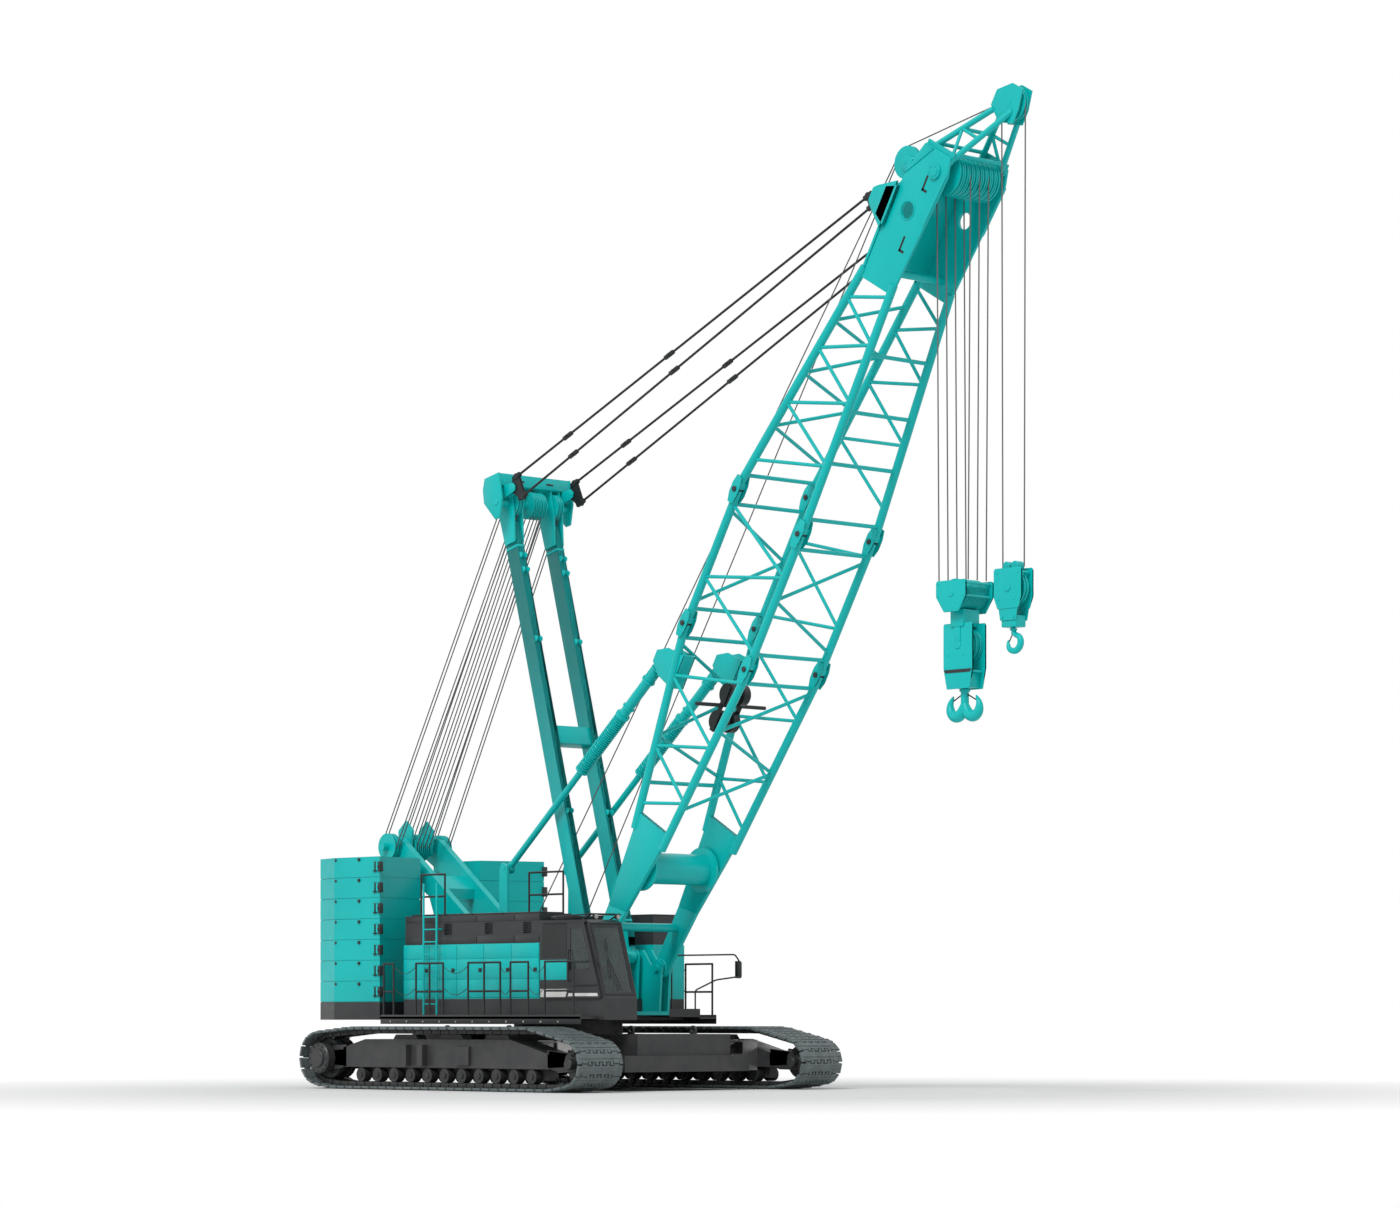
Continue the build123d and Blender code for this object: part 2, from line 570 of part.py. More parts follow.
def counterweight(side):
    """Seven cast layers on one side, each with its pair of lifting lugs at the corner."""
    bottom = STACK_BOTTOM + STACK_BASE
    solids = []
    plan = [(x, side * y) for x, y in STACK_PLAN]
    inset = [(x + (STACK_SEAM if x < -4500 else -STACK_SEAM), side * (y - STACK_SEAM if y > 1500 else y + STACK_SEAM))
             for x, y in STACK_PLAN]
    for i in range(STACK_LAYERS):
        z = bottom + i * STACK_LAYER
        solids.append(slab_z(inset, z, z + STACK_SEAM))
        solids.append(slab_z(plan, z + STACK_SEAM, z + STACK_LAYER))
        for dx in (0, 90):
            x = -3520 + 10 - dx * 1.4
            solids.append(box(x - 70, x - 10, *sorted((side * 2380, side * 2460)), z + 150, z + 330))
    return fuse(solids)


def counterweight_base():
    """The black tray under both stacks."""
    left = slab_z(STACK_PLAN, STACK_BOTTOM, STACK_BOTTOM + STACK_BASE)
    right = mirror(left, Plane.XZ)
    bridge = box(-5400, -4100, -880, 880, STACK_BOTTOM, STACK_BOTTOM + STACK_BASE)
    link = box(-4200, HOUSE_REAR, -860, 860, STACK_BOTTOM + 20, STACK_BOTTOM + STACK_BASE)
    return fuse([left, right, bridge, link])


def gantry():
    """Two inclined box beams with a cross beam and the cheeks of the rope sheaves."""
    tx, tz = GANTRY_TOP
    beam = slab_y([(-2690, HOUSE_TOP + 60), (-2620, DECK_TOP), (-3000, DECK_TOP), (-3950, 4250),
                   (tx - 220, tz - 240), (tx - 260, tz + 60), (tx - 60, tz + 240), (tx + 250, tz + 190)],
                  GANTRY_Y - 80, GANTRY_Y + 80)
    cross = slab_y([(-4150, 4300), (-3700, 4200), (-3700, 4420), (-4150, 4720)], -GANTRY_Y, GANTRY_Y)
    shaft = disc_y(tx, tz, 90, -980, 980)
    cheeks = []
    for y in (-330, 270):
        cheeks.append(slab_y([(tx - 200, tz - 200), (tx + 220, tz - 200), (tx + 300, tz + 380),
                              (tx + 60, tz + 600), (tx - 200, tz + 380)], y, y + 50))
    return fuse([*both_sides(beam), cross, shaft, *cheeks])


def sheave_bank(x, z, radius, places, width):
    """Grooved sheaves side by side on one shaft's line."""
    sheaves = []
    for y in places:
        wheel = disc_y(x, z, radius, y - width / 2, y + width / 2)
        groove = (disc_y(x, z, radius + 5, y - width * 0.22, y + width * 0.22)
                  - disc_y(x, z, radius - GROOVE, y - width / 2, y + width / 2))
        sheaves.append(wheel - groove)
    return sheaves


def gantry_sheaves():
    """Boom hoist sheaves at the gantry's head."""
    tx, tz = GANTRY_TOP
    outer = [side * (700 + 90 * i) for side in (-1, 1) for i in range(2)]
    inner = [-180, -60, 60, 180]
    bore = disc_y(tx, tz, 90, -1000, 1000)
    low = sheave_bank(tx, tz, 300, outer + inner, 84)
    return group([s - bore for s in low])


# Winch drums: X and Z of the shaft, flange radius
WINCH_DRUMS = [(-2220, 2500, 350), (-1450, 2420, 400), (-380, 2420, 400)]


def winch_drums():
    """Hoist and boom hoist drums between the houses."""
    drums = []
    for x, z, radius in WINCH_DRUMS:
        drums.append(fuse([disc_y(x, z, radius * 0.72, -700, 700), disc_y(x, z, radius, -760, -700),
                           disc_y(x, z, radius, 700, 760), disc_y(x, z, 120, -HOUSE_INNER, HOUSE_INNER)]))
    return group(drums)


def backstop_posts():
    """Posts on the deck that carry the backstops' foot pins."""
    x, z = BACKSTOP_FOOT
    shapes = []
    post = slab_y([(x - 160, DECK_TOP), (x + 160, DECK_TOP), (x + 120, z + 60), (x - 60, z + 120),
                   (x - 130, z)], BACKSTOP_Y + 110, BACKSTOP_Y + 170)
    pin = disc_y(x, z, 45, BACKSTOP_Y - 90, BACKSTOP_Y + 180)
    for shape in (post, pin):
        shapes += both_sides(shape)
    return fuse(shapes)


def mirror_arm():
    """Frame that holds the round mirror out from the left platform."""
    y0, y1 = HOUSE_SIDE, 3000
    x = 1900
    bars = [rod((x, y0, DECK_BOTTOM + 150), (x, y0 + 100, DECK_BOTTOM + 150), 18),
            rod((x, y0 + 100, DECK_BOTTOM + 150), (x, y1, 2150), 18), rod((x, y1, 2150), (x, y1, 2850), 18),
            rod((x, y1, 2850), (x, y0 + 100, 2850), 18),
            rod((x, y0 + 100, 2850), (x, y0 + 100, DECK_BOTTOM + 180), 18)]
    glass = Pos(x, 3250, 2550) * Rot(0, 90, 0) * Cylinder(150, 40)
    stub = rod((x, y1, 2550), (x, 3150, 2550), 15)
    return fuse([*bars, stub, glass])


# ---------------------------------------------------------------- mast
def mast():
    """Two box legs, a cross tie and the head that holds the sheaves, in the mast's frame."""
    depth, thick = MAST_LEG_DEPTH, MAST_LEG_THICK
    length = MAST_LENGTH
    leg = fuse([box(-depth / 2, depth / 2, MAST_LEG_Y - thick / 2, MAST_LEG_Y + thick / 2, 180,
                    MAST_SHAFT - MAST_SHEAVE - 40),
                slab_y([(-depth / 2, 400), (-110, 0), (110, 0), (depth / 2, 400)],
                       MAST_LEG_Y - thick / 2, MAST_LEG_Y + thick / 2),
                disc_y(0, 0, 150, MAST_LEG_Y - thick / 2, MAST_LEG_Y + thick / 2)])
    leg = leg - disc_y(0, 0, 60.5, 0, 2000)
    tie = box(-depth / 2 + 30, depth / 2 - 30, -MAST_LEG_Y, MAST_LEG_Y, 4750, 5150)
    head = box(-320, 240, -1050, 1050, length + 250, length + 900)
    neck = []
    for y in (-MAST_LEG_Y - thick / 2 - 40, -MAST_LEG_Y + thick / 2, MAST_LEG_Y - thick / 2 - 40,
              MAST_LEG_Y + thick / 2):
        neck.append(slab_y([(-170, length - 700), (170, length - 700), (230, length + 260),
                            (-310, length + 260)], y, y + 40))
    shaft = disc_y(0, MAST_SHAFT, 80, -MAST_LEG_Y - thick / 2 - 20, MAST_LEG_Y + thick / 2 + 20)
    px, pz = PENDANT_PIN
    lugs = []
    for y in (PENDANT_Y - 70, PENDANT_Y + 35):
        lugs += both_sides(slab_y([(200, length + 400), (px + 60, pz - 90), (px + 90, pz), (px + 60, pz + 90),
                                   (200, pz + 160)], y, y + 35))
    lugs += both_sides(disc_y(px, pz, 40, PENDANT_Y - 75, PENDANT_Y + 75))
    return fuse([*both_sides(leg), tie, head, *neck, shaft, *lugs], MAST)


def mast_sheaves():
    """Boom hoist sheaves under the mast's head."""
    places = [-150, -50, 50, 150, -625, -535, 535, 625]
    bank = sheave_bank(0, MAST_SHAFT, MAST_SHEAVE, places, 84)
    bore = disc_y(0, MAST_SHAFT, 80, -1100, 1100)
    return group([MAST * (s - bore) for s in bank])


def pendants():
    """Two pairs of pendant bars from the mast's head to the boom's head, with their link plates."""
    start = mast_point(*PENDANT_PIN)
    end = boom_point(*PENDANT_HEAD)
    way = math.dist(start, end)
    turn = math.degrees(math.atan2(end[1] - start[1], end[0] - start[0]))
    place = Pos(start[0], 0, start[1]) * Rot(0, -turn, 0)
    shapes = []
    for side in (-1, 1):
        y = side * PENDANT_Y
        bars = [rod((150, y, z), (way - 220, y, z), 24) for z in (-110, 110)]
        joints = []
        for x in (1950, 3300, 4650, 6000, 7350, 8700):
            for z in (-110, 110):
                joints.append(box(x - 130, x + 130, y - 32, y + 32, z - 40, z + 40))
        plate = slab_y([(-90, -60), (60, -190), (190, -190), (190, 190), (60, 190), (-90, 60)],
                       y - 30, y + 30)
        far = slab_y([(way - 250, -180), (way - 130, -180), (way + 40, -70), (way + 40, 70),
                      (way - 130, 180), (way - 250, 180)], y - 30, y + 30)
        eye = disc_y(0, 0, 40.5, y - 60, y + 60)
        shapes.append(fuse([*bars, *joints, plate, far]) - eye)
    return group([place * shape for shape in shapes])


# ---------------------------------------------------------------- backstops
def backstop_frame():
    """Place and direction of the backstops: foot pin, turned along the tube."""
    head = boom_point(*BACKSTOP_HEAD)
    turn = math.degrees(math.atan2(head[1] - BACKSTOP_FOOT[1], head[0] - BACKSTOP_FOOT[0]))
    return Pos(BACKSTOP_FOOT[0], 0, BACKSTOP_FOOT[1]) * Rot(0, -turn, 0), math.dist(head, BACKSTOP_FOOT)


def backstop_rods():
    """The slim lower bars that stand on the foot pins."""
    place, way = backstop_frame()
    shapes = []
    for side in (-1, 1):
        y = side * BACKSTOP_Y
        eye = disc_y(0, 0, 110, y - 70, y + 70) - disc_y(0, 0, 45.5, y - 100, y + 100)
        bar = rod((90, y, 0), (way - 1560, y, 0), BACKSTOP_BAR)
        shapes.append(fuse([eye, bar]))
    return group([place * shape for shape in shapes])


def backstop_tubes():
    """The upper tubes, each with its spring, that slide over the lower bars."""
    place, way = backstop_frame()
    shapes = []
    for side in (-1, 1):
        y = side * BACKSTOP_Y
        bore = rod((way - 3500, y, 0), (way - 200, y, 0), BACKSTOP_BORE)
        tube = rod((way - 3400, y, 0), (way - 150, y, 0), BACKSTOP_TUBE)
        coils = [rod((way - 3300 + i * 130, y, 0), (way - 3240 + i * 130, y, 0), BACKSTOP_TUBE + 18)
                 for i in range(12)]
        eye = disc_y(way, 0, 110, y - 45, y + 45)
        neck = box(way - 160, way - 40, y - 45, y + 45, -70, 70)
        shapes.append(fuse([tube, *coils, neck, eye]) - bore)
    return group([place * shape for shape in shapes])


# ---------------------------------------------------------------- boom
def lacing(x0, x1, back0, back1, front0, front1, bays):
    """Bars between four chords, from x0 to x1; back and front are the chords' Z at each end."""
    w = BOOM_HALF_WIDTH
    bars = []
    for i in range(bays + 1):
        share = i / bays
        x = x0 + (x1 - x0) * share
        zb = back0 + (back1 - back0) * share
        zf = front0 + (front1 - front0) * share
        bars += [((x, -w, zb), (x, w, zb), 46), ((x, -w, zf), (x, w, zf), 46)]
        bars += [((x, side * w, zb), (x, side * w, zf), 40) for side in (-1, 1)]
        if i < bays:
            nxt = (i + 1) / bays
            xn = x0 + (x1 - x0) * nxt
            zbn = back0 + (back1 - back0) * nxt
            zfn = front0 + (front1 - front0) * nxt
            even = i % 2 == 0
            bars += [((x, -w if even else w, zb), (xn, w if even else -w, zbn), 36),
                     ((x, w if even else -w, zf), (xn, -w if even else w, zfn), 36)]
            for side in (-1, 1):
                bars.append(((x, side * w, zb if even else zf), (xn, side * w, zfn if even else zbn), 38))
    return [rod(*bar) for bar in bars]


def bent_bar(points, radius):
    """A round bar through several points, with mitred bends."""
    path = Polyline(*points)
    plane = Plane(origin=points[0], z_dir=Vector(*points[1]) - Vector(*points[0]))
    return sweep(plane * Circle(radius), path=path, transition=Transition.RIGHT)


def chords(stations):
    """Four chords through stations of (x, back z, front z)."""
    bars = []
    for side in (-1, 1):
        y = side * BOOM_HALF_WIDTH
        for column in (1, 2):
            bars.append(bent_bar([(row[0], y, row[column]) for row in stations], CHORD_RADIUS))
    return bars


def end_lugs(x, inward):
    """Pin lugs on the four chord ends at one joint of the boom."""
    lugs = []
    for side in (-1, 1):
        for z in (-BOOM_HALF_DEPTH, BOOM_HALF_DEPTH):
            y = side * BOOM_HALF_WIDTH
            x0, x1 = sorted((x, x + inward * 260))
            lugs.append(box(x0, x1, y - 95, y + 95, z - 110, z + 110))
    return lugs


def boom_base():
    """Foot section: two side plates that widen from the foot pins, then lattice."""
    d = BOOM_HALF_DEPTH
    plate = slab_y([(-60, 190), (160, 190), (1425, 180), (3570, 335), (3570, -700), (1557, -360), (160, -190),
                    (-60, -190)], 960, 1070)
    plate = fuse([plate, disc_y(0, 0, 200, 945, 1085)]) - disc_y(0, 0, 75.5, 900, 1200)
    stations = [(3200, 335 * 3200 / 3570 + 20, -640), (5420, 690, -950), (7420, d, -d)]
    body = [*both_sides(plate), *chords(stations),
            *lacing(3650, 7300, 370, d, -690, -d, 2), *end_lugs(BASE_LENGTH - SEAT_GAP, -1),
            rod((1000, -980, 0), (1000, 980, 0), 90)]
    head_x, head_z = BACKSTOP_HEAD
    body_lugs = []
    reach = BACKSTOP_TUBE + 20
    for y in (BACKSTOP_Y - reach - 30, BACKSTOP_Y + reach):
        lug = slab_y([(head_x - 380, 800), (head_x + 380, 800), (head_x + 200, head_z + 130),
                      (head_x - 200, head_z + 130)], y, y + 30)
        body_lugs += both_sides(lug)
    body_lugs += both_sides(box(head_x - 380, head_x + 380, BACKSTOP_Y - reach - 30, BOOM_HALF_WIDTH, 800, 860))
    return fuse([*body, *body_lugs], BOOM)


def boom_insert():
    """The straight lattice section in the middle."""
    d = BOOM_HALF_DEPTH
    x0, x1 = BASE_LENGTH, BASE_LENGTH + INSERT_LENGTH
    stations = [(x0 + 200, d, -d), (x1 - 200, d, -d)]
    return fuse([*chords(stations), *lacing(x0 + 320, x1 - 320, d, d, -d, -d, 2),
                 *end_lugs(x0, 1), *end_lugs(x1 - SEAT_GAP, -1)], BOOM)


def boom_top():
    """Top section: lattice, then the head's two side plates."""
    d = BOOM_HALF_DEPTH
    x0 = BASE_LENGTH + INSERT_LENGTH
    w = HEAD_HALF_WIDTH
    plate = slab_y([(15750, 250), (17420, 250), (18720, -120), (18700, -880), (18330, -1000),
                    (17250, -900), (15750, -760)], w - HEAD_PLATE, w)
    hole = disc_y(17380, -330, 170, -w - 50, w + 50)
    bars = []
    for side in (-1, 1):
        for za, zb in ((d, 230), (-d, -700)):
            bars.append(rod((x0 + 200, side * BOOM_HALF_WIDTH, za), (15950, side * (w - 30), zb), CHORD_RADIUS))
    laces = []
    bays = 3
    for i in range(bays + 1):
        share = 0.05 + 0.85 * i / bays
        nxt = 0.05 + 0.85 * (i + 1) / bays
        x, y, zb = along((x0 + 200, BOOM_HALF_WIDTH, d), (15950, w - 30, 230), share)
        zf = -d + (d - 700) * share
        laces.append(rod((x, -y, zb), (x, y, zb), 46))
        if i < bays:
            laces.append(rod((x, -y, zf), (x, y, zf), 46))
        laces += [rod((x, s * y, zb), (x, s * y, zf), 40) for s in (-1, 1)]
        if i < bays:
            xn, yn, zbn = along((x0 + 200, BOOM_HALF_WIDTH, d), (15950, w - 30, 230), nxt)
            zfn = -d + (d - 700) * nxt
            laces += [rod((x, -y, zb), (xn, yn, zbn), 36), rod((x, y, zf), (xn, -yn, zfn), 36)]
            laces += [rod((x, s * y, zb), (xn, s * yn, zfn), 38) for s in (-1, 1)]
    arms = []
    px, pz = PENDANT_HEAD
    for y in (PENDANT_Y - 100, PENDANT_Y + 50):
        arms += both_sides(slab_y([(px - 500, 150), (px + 500, 150), (px + 140, pz + 90),
                                   (px - 140, pz + 90)], y, y + 50))
    spacer = both_sides(slab_y([(px - 420, 100), (px + 420, 100), (px + 300, pz - 230), (px - 300, pz - 230)],
                               PENDANT_Y - 100, PENDANT_Y + 100))
    back_plate = box(15900, 18300, -w + 10, w - 10, 60, 110)
    cross = [rod((16100, -w + 20, -350), (16100, w - 20, -350), 80)]
    shaft = disc_y(*HEAD_SHAFT, 90, -w - 30, w + 30)
    sheave_plates = [slab_y([(17700, 100), (18280, 100), (18100, 1050), (17880, 1050)], y, y + 40)
                     for y in (-110, 70)]
    sheave_pin = disc_y(*GUIDE_SHAFT, 50, -115, 115)
    return fuse([*both_sides(plate), *bars, *laces, *end_lugs(x0, 1), *arms, *spacer,
                 back_plate, *cross, shaft, *sheave_plates, sheave_pin], BOOM) - BOOM * hole


def head_sheaves():
    """Main sheaves on the head's shaft, the guide sheave behind it and the jib's sheave."""
    places = [(i - (SHEAVE_COUNT - 1) / 2) * SHEAVE_PITCH for i in range(SHEAVE_COUNT)]
    rows = [(HEAD_SHAFT, SHEAVE_RADIUS, places, 90), (GUIDE_SHAFT, 330, [0], 50), (JIB_SHAFT, 340, [0], 60)]
    sheaves = []
    for shaft, radius, ys, shaft_radius in rows:
        bore = disc_y(*shaft, shaft_radius, -1000, 1000)
        sheaves += [BOOM * (s - bore) for s in sheave_bank(*shaft, radius, ys, 110)]
    return group(sheaves)


def auxiliary_jib():
    """Short truss on the boom's nose that carries the auxiliary sheave."""
    jx, jz = JIB_SHAFT
    root = HEAD_HALF_WIDTH - HEAD_PLATE - 62
    bars = []
    for side in (-1, 1):
        root_back = (18650, side * root, -200)
        root_front = (18620, side * root, -820)
        tip_back = (jx - 250, side * 130, jz + 330)
        tip_front = (jx - 100, side * 130, jz - 150)
        bars += [rod(root_back, tip_back, 60), rod(root_front, tip_front, 60),
                 rod(along(root_back, tip_back, 0.5), along(root_front, tip_front, 0.45), 35),
                 rod(root_front, along(root_back, tip_back, 0.5), 35)]
    # cross bars: share of the way to the tip, root and tip of the chords that they join (X, Z)
    back = ((18650, -200), (jx - 250, jz + 330))
    front = ((18620, -820), (jx - 100, jz - 150))
    for share, ends in ((0.12, back), (0.5, back), (0.12, front)):
        x, z = along(*ends, share)
        y = root + (130 - root) * share
        bars.append(rod((x, -y, z), (x, y, z), 40))
    cheeks = [slab_y([(jx - 420, jz + 60), (jx - 200, jz + 420), (jx + 120, jz + 420), (jx + 380, jz + 100),
                      (jx + 380, jz - 200), (jx, jz - 300), (jx - 300, jz - 300)], y, y + 30)
              for y in (-150, 120)]
    pin = disc_y(jx, jz, 60, -155, 155)
    inner = HEAD_HALF_WIDTH - HEAD_PLATE
    feet = both_sides(box(18560, 18800, inner - 55, inner, -900, -100))
    return fuse([*bars, *cheeks, pin, *feet], BOOM)


def boom_drum():
    """Winch drum between the base section's side plates."""
    drum = fuse([disc_y(2500, -150, 330, -860, 860), disc_y(2500, -150, 480, -900, -840),
                 disc_y(2500, -150, 480, 840, 900), disc_y(2500, -150, 110, -960, 960)])
    return fuse([drum], BOOM)


def cable_reels():
    """Two pairs of cable reels on a carrier that spans the base section's side lacing."""
    half = BOOM_HALF_WIDTH - 38
    shapes = [disc_y(REEL_CARRIER_X, 0, 40, -half, half)]
    for y in (-280, 260):
        shapes.append(box(5700, 6750, y, y + 20, -60, 60))
    for x in (5930, 6560):
        for y in (-240, 60):
            shapes.append(disc_y(x, 0, 230, y, y + 180))
        shapes.append(disc_y(x, 0, 35, -270, 270))
    return fuse(shapes, BOOM)


# ---------------------------------------------------------------- hook blocks
def falls(shaft, groove, spread, places, block_top):
    """Rope parts that leave a sheave's groove fore and aft by turns and run down to a block."""
    hx, hz = boom_point(*shaft)
    start = groove + FALL_RADIUS + 0.3
    ropes = []
    for i, y in enumerate(places):
        end = 1 if i % 2 else -1
        ropes.append(rod((hx + end * spread, y, block_top + 0.5), (hx + end * start, y, hz), FALL_RADIUS))
    return ropes


def main_falls():
    """The main hoist's rope parts, hanging from the head sheaves to the block."""
    places = [(i - (SHEAVE_COUNT - 1) / 2) * SHEAVE_PITCH for i in range(SHEAVE_COUNT)]
    return group(falls(HEAD_SHAFT, SHEAVE_RADIUS - GROOVE, 330, places[1:-1], MAIN_BLOCK_TOP))


def main_block():
    """Cheeks and housing of the main hook block."""
    hx, _ = boom_point(*HEAD_SHAFT)
    top = MAIN_BLOCK_TOP
    upper = slab_y([(-395, 0), (395, 0), (395, -300), (180, -620), (-180, -620), (-395, -300)], -410, 410)
    waist = slab_y([(-180, -600), (180, -600), (180, -860), (-180, -860)], -250, 250)
    lower = slab_y([(-390, -830), (390, -830), (390, -1730), (300, -2120), (-300, -2120), (-390, -1730)],
                   -200, 200)
    return Pos(hx, 0, top) * fuse([upper, waist, lower])


def main_hook():
    """Ramshorn hook on its stem."""
    hx, _ = boom_point(*HEAD_SHAFT)
    top = MAIN_BLOCK_TOP - 2120 - SEAT_GAP
    bowl = disc_y(0, -330, 300, -70, 70)
    eyes = [disc_y(x, -250, 95, -100, 100) for x in (-160, 160)]
    mouth = [slab_y([(x - 60, -250), (x + 60, -250), (x + 90, 60), (x - 90, 60)], -100, 100)
             for x in (-190, 190)]
    stem = Pos(0, 0, -90) * Cylinder(60, 180)
    return Pos(hx, 0, top) * fuse([bowl - eyes - mouth, stem])


def aux_falls():
    """The auxiliary hoist's two rope parts."""
    return group(falls(JIB_SHAFT, 340 - GROOVE, 280, [0, 0], AUX_BLOCK_TOP))


def aux_block():
    """Cheeks and housing of the auxiliary hook block."""
    jx, _ = boom_point(*JIB_SHAFT)
    body = slab_y([(-360, 0), (360, 0), (360, -620), (260, -1000), (180, -1180), (-180, -1180), (-260, -1000),
                   (-360, -620)], -180, 180)
    return Pos(jx, 0, AUX_BLOCK_TOP) * body


def aux_hook():
    """Single hook on its stem."""
    jx, _ = boom_point(*JIB_SHAFT)
    bowl = disc_y(20, -280, 160, -50, 50) - disc_y(20, -270, 75, -60, 60)
    mouth = slab_y([(-200, -270), (-20, -270), (-20, -120), (-200, -120)], -60, 60)
    stem = Pos(0, 0, -70) * Cylinder(45, 140)
    return Pos(jx, 0, AUX_BLOCK_TOP - 1180 - SEAT_GAP) * fuse([bowl - mouth, stem])


# ---------------------------------------------------------------- assembly
def add(name, shape):
    """Keeps one named part for writing."""
    PARTS[name] = shape


SIDES = {"right": -1, "left": 1}


def build():
    """Makes every part under its node's name."""
    loop = Rot(90, 0, 0) * track_loop()
    for name, side in SIDES.items():
        edge = side * GAUGE / 2 + SHOE_WIDTH / 2
        add(f"track_{name}", Pos(0, edge, TRACK_RADIUS) * loop)
        add(f"side_frame_{name}", side_frame(side))
        add(f"machinery_house_{name}", house(side))
        add(f"house_casing_{name}", house_casing(side))
        add(f"counterweight_{name}", counterweight(side))
    pairs = {"drive_tumblers": drive_tumbler, "idlers": idler, "catwalks": catwalk,
             "access_steps": access_steps}
    for name, make in pairs.items():
        add(name, group([make(side) for side in SIDES.values()]))
    add("track_rollers", group(track_rollers(-1) + track_rollers(1)))
    add("car_body", car_body())
    add("slewing_ring", slewing_ring())
    add("car_body_weights", group([car_body_weight(1), car_body_weight(-1)]))
    add("upper_frame", upper_frame())
    add("foot_brackets", foot_brackets())
    add("guard_rails", group(guard_rails(-1, RAIL_FRAMES_RIGHT) + guard_rails(1, RAIL_FRAMES_LEFT)
                             + roof_rails()))
    add("access_ladder", access_ladder())
    add("cab_shell", cab_shell())
    add("cab_door", cab_door())
    add("cab_door_glass", door_glass())
    add("operator_seat", operator_seat())
    add("counterweight_base", counterweight_base())
    add("gantry", gantry())
    add("gantry_sheaves", gantry_sheaves())
    add("winch_drums", winch_drums())
    add("backstop_posts", backstop_posts())
    add("mirror_arm", mirror_arm())
    add("mast", mast())
    add("mast_sheaves", mast_sheaves())
    add("pendants", pendants())
    add("backstop_rods", backstop_rods())
    add("backstop_tubes", backstop_tubes())
    add("boom_base", boom_base())
    add("boom_insert", boom_insert())
    add("boom_top", boom_top())
    add("head_sheaves", head_sheaves())
    add("auxiliary_jib", auxiliary_jib())
    add("boom_drum", boom_drum())
    add("cable_reels", cable_reels())
    add("main_falls", main_falls())
    add("main_block", main_block())
    add("main_hook", main_hook())
    add("aux_falls", aux_falls())
    add("aux_block", aux_block())
    add("aux_hook", aux_hook())


build()
os.makedirs("parts", exist_ok=True)
for part_name, part_shape in PARTS.items():
    moved = [Pos(ORIGIN_SHIFT, 0, 0) * solid for solid in part_shape.solids()]
    export_step(moved[0] if len(moved) == 1 else Compound(moved), f"parts/{part_name}.step")
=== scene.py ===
import json
import math

import bpy
from mathutils import Matrix, Vector


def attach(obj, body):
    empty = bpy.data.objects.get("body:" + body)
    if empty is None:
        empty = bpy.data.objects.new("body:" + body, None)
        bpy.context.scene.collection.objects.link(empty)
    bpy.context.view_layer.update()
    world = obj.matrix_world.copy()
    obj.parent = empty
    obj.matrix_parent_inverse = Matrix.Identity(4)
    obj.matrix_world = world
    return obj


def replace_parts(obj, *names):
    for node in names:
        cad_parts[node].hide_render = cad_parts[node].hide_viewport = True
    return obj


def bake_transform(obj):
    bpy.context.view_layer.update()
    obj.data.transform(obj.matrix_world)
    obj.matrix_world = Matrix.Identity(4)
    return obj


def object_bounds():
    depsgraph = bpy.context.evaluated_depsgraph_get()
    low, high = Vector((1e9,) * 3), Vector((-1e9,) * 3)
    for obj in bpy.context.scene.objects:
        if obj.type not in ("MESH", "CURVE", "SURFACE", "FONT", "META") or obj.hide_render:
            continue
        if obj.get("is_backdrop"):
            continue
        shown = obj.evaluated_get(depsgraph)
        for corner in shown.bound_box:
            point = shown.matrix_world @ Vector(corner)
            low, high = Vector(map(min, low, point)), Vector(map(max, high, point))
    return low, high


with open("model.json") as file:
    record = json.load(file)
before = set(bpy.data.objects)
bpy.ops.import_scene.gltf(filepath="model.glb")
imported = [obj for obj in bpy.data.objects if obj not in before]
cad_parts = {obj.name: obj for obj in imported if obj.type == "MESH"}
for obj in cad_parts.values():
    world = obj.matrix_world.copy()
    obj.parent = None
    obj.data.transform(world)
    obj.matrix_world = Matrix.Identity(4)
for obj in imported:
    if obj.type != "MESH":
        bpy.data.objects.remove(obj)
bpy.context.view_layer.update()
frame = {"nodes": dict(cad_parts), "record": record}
JOINTS = {row["name"]: row for row in frame["record"]["behaviour"]["joints"]}


def joint_place(name):
    """Where a joint's pin stands, in metres."""
    return Vector(JOINTS[name]["pos_m"])


# The machine's own frame has its upright axis through the slewing ring.
SLEW = joint_place("slew")
MACHINE = Matrix.Translation((SLEW.x, 0, 0))
BOOM_ANGLE = math.radians(59.58)
BOOM = Matrix.Translation(joint_place("boom_luff")) @ Matrix.Rotation(-BOOM_ANGLE, 4, "Y")
MAST_RUN, MAST_RISE = 2.565, 9.5
MAST_TILT = math.atan2(MAST_RUN, MAST_RISE)
MAST_LENGTH = math.hypot(MAST_RUN, MAST_RISE)
MAST = Matrix.Translation(joint_place("mast_luff")) @ Matrix.Rotation(-MAST_TILT, 4, "Y")
SHEAVE_X, SHEAVE_Z = 0.15, MAST_LENGTH + 0.375    # shaft of the sheaves in the mast's head
GUIDE_X, GUIDE_Z = 17.99, 0.95                    # shaft of the sheave that guides the auxiliary line
BODY_FRAME = {"lower": MACHINE, "upper": MACHINE, "door": MACHINE, "boom": BOOM, "mast": MAST}


# ---------- shaping helpers
def deselect():
    """Leaves edit mode and clears the selection."""
    if bpy.context.mode != "OBJECT":
        bpy.ops.object.mode_set(mode="OBJECT")
    bpy.ops.object.select_all(action="DESELECT")


def choose(piece):
    """Makes one piece the only one that is selected."""
    deselect()
    piece.select_set(True)
    bpy.context.view_layer.objects.active = piece


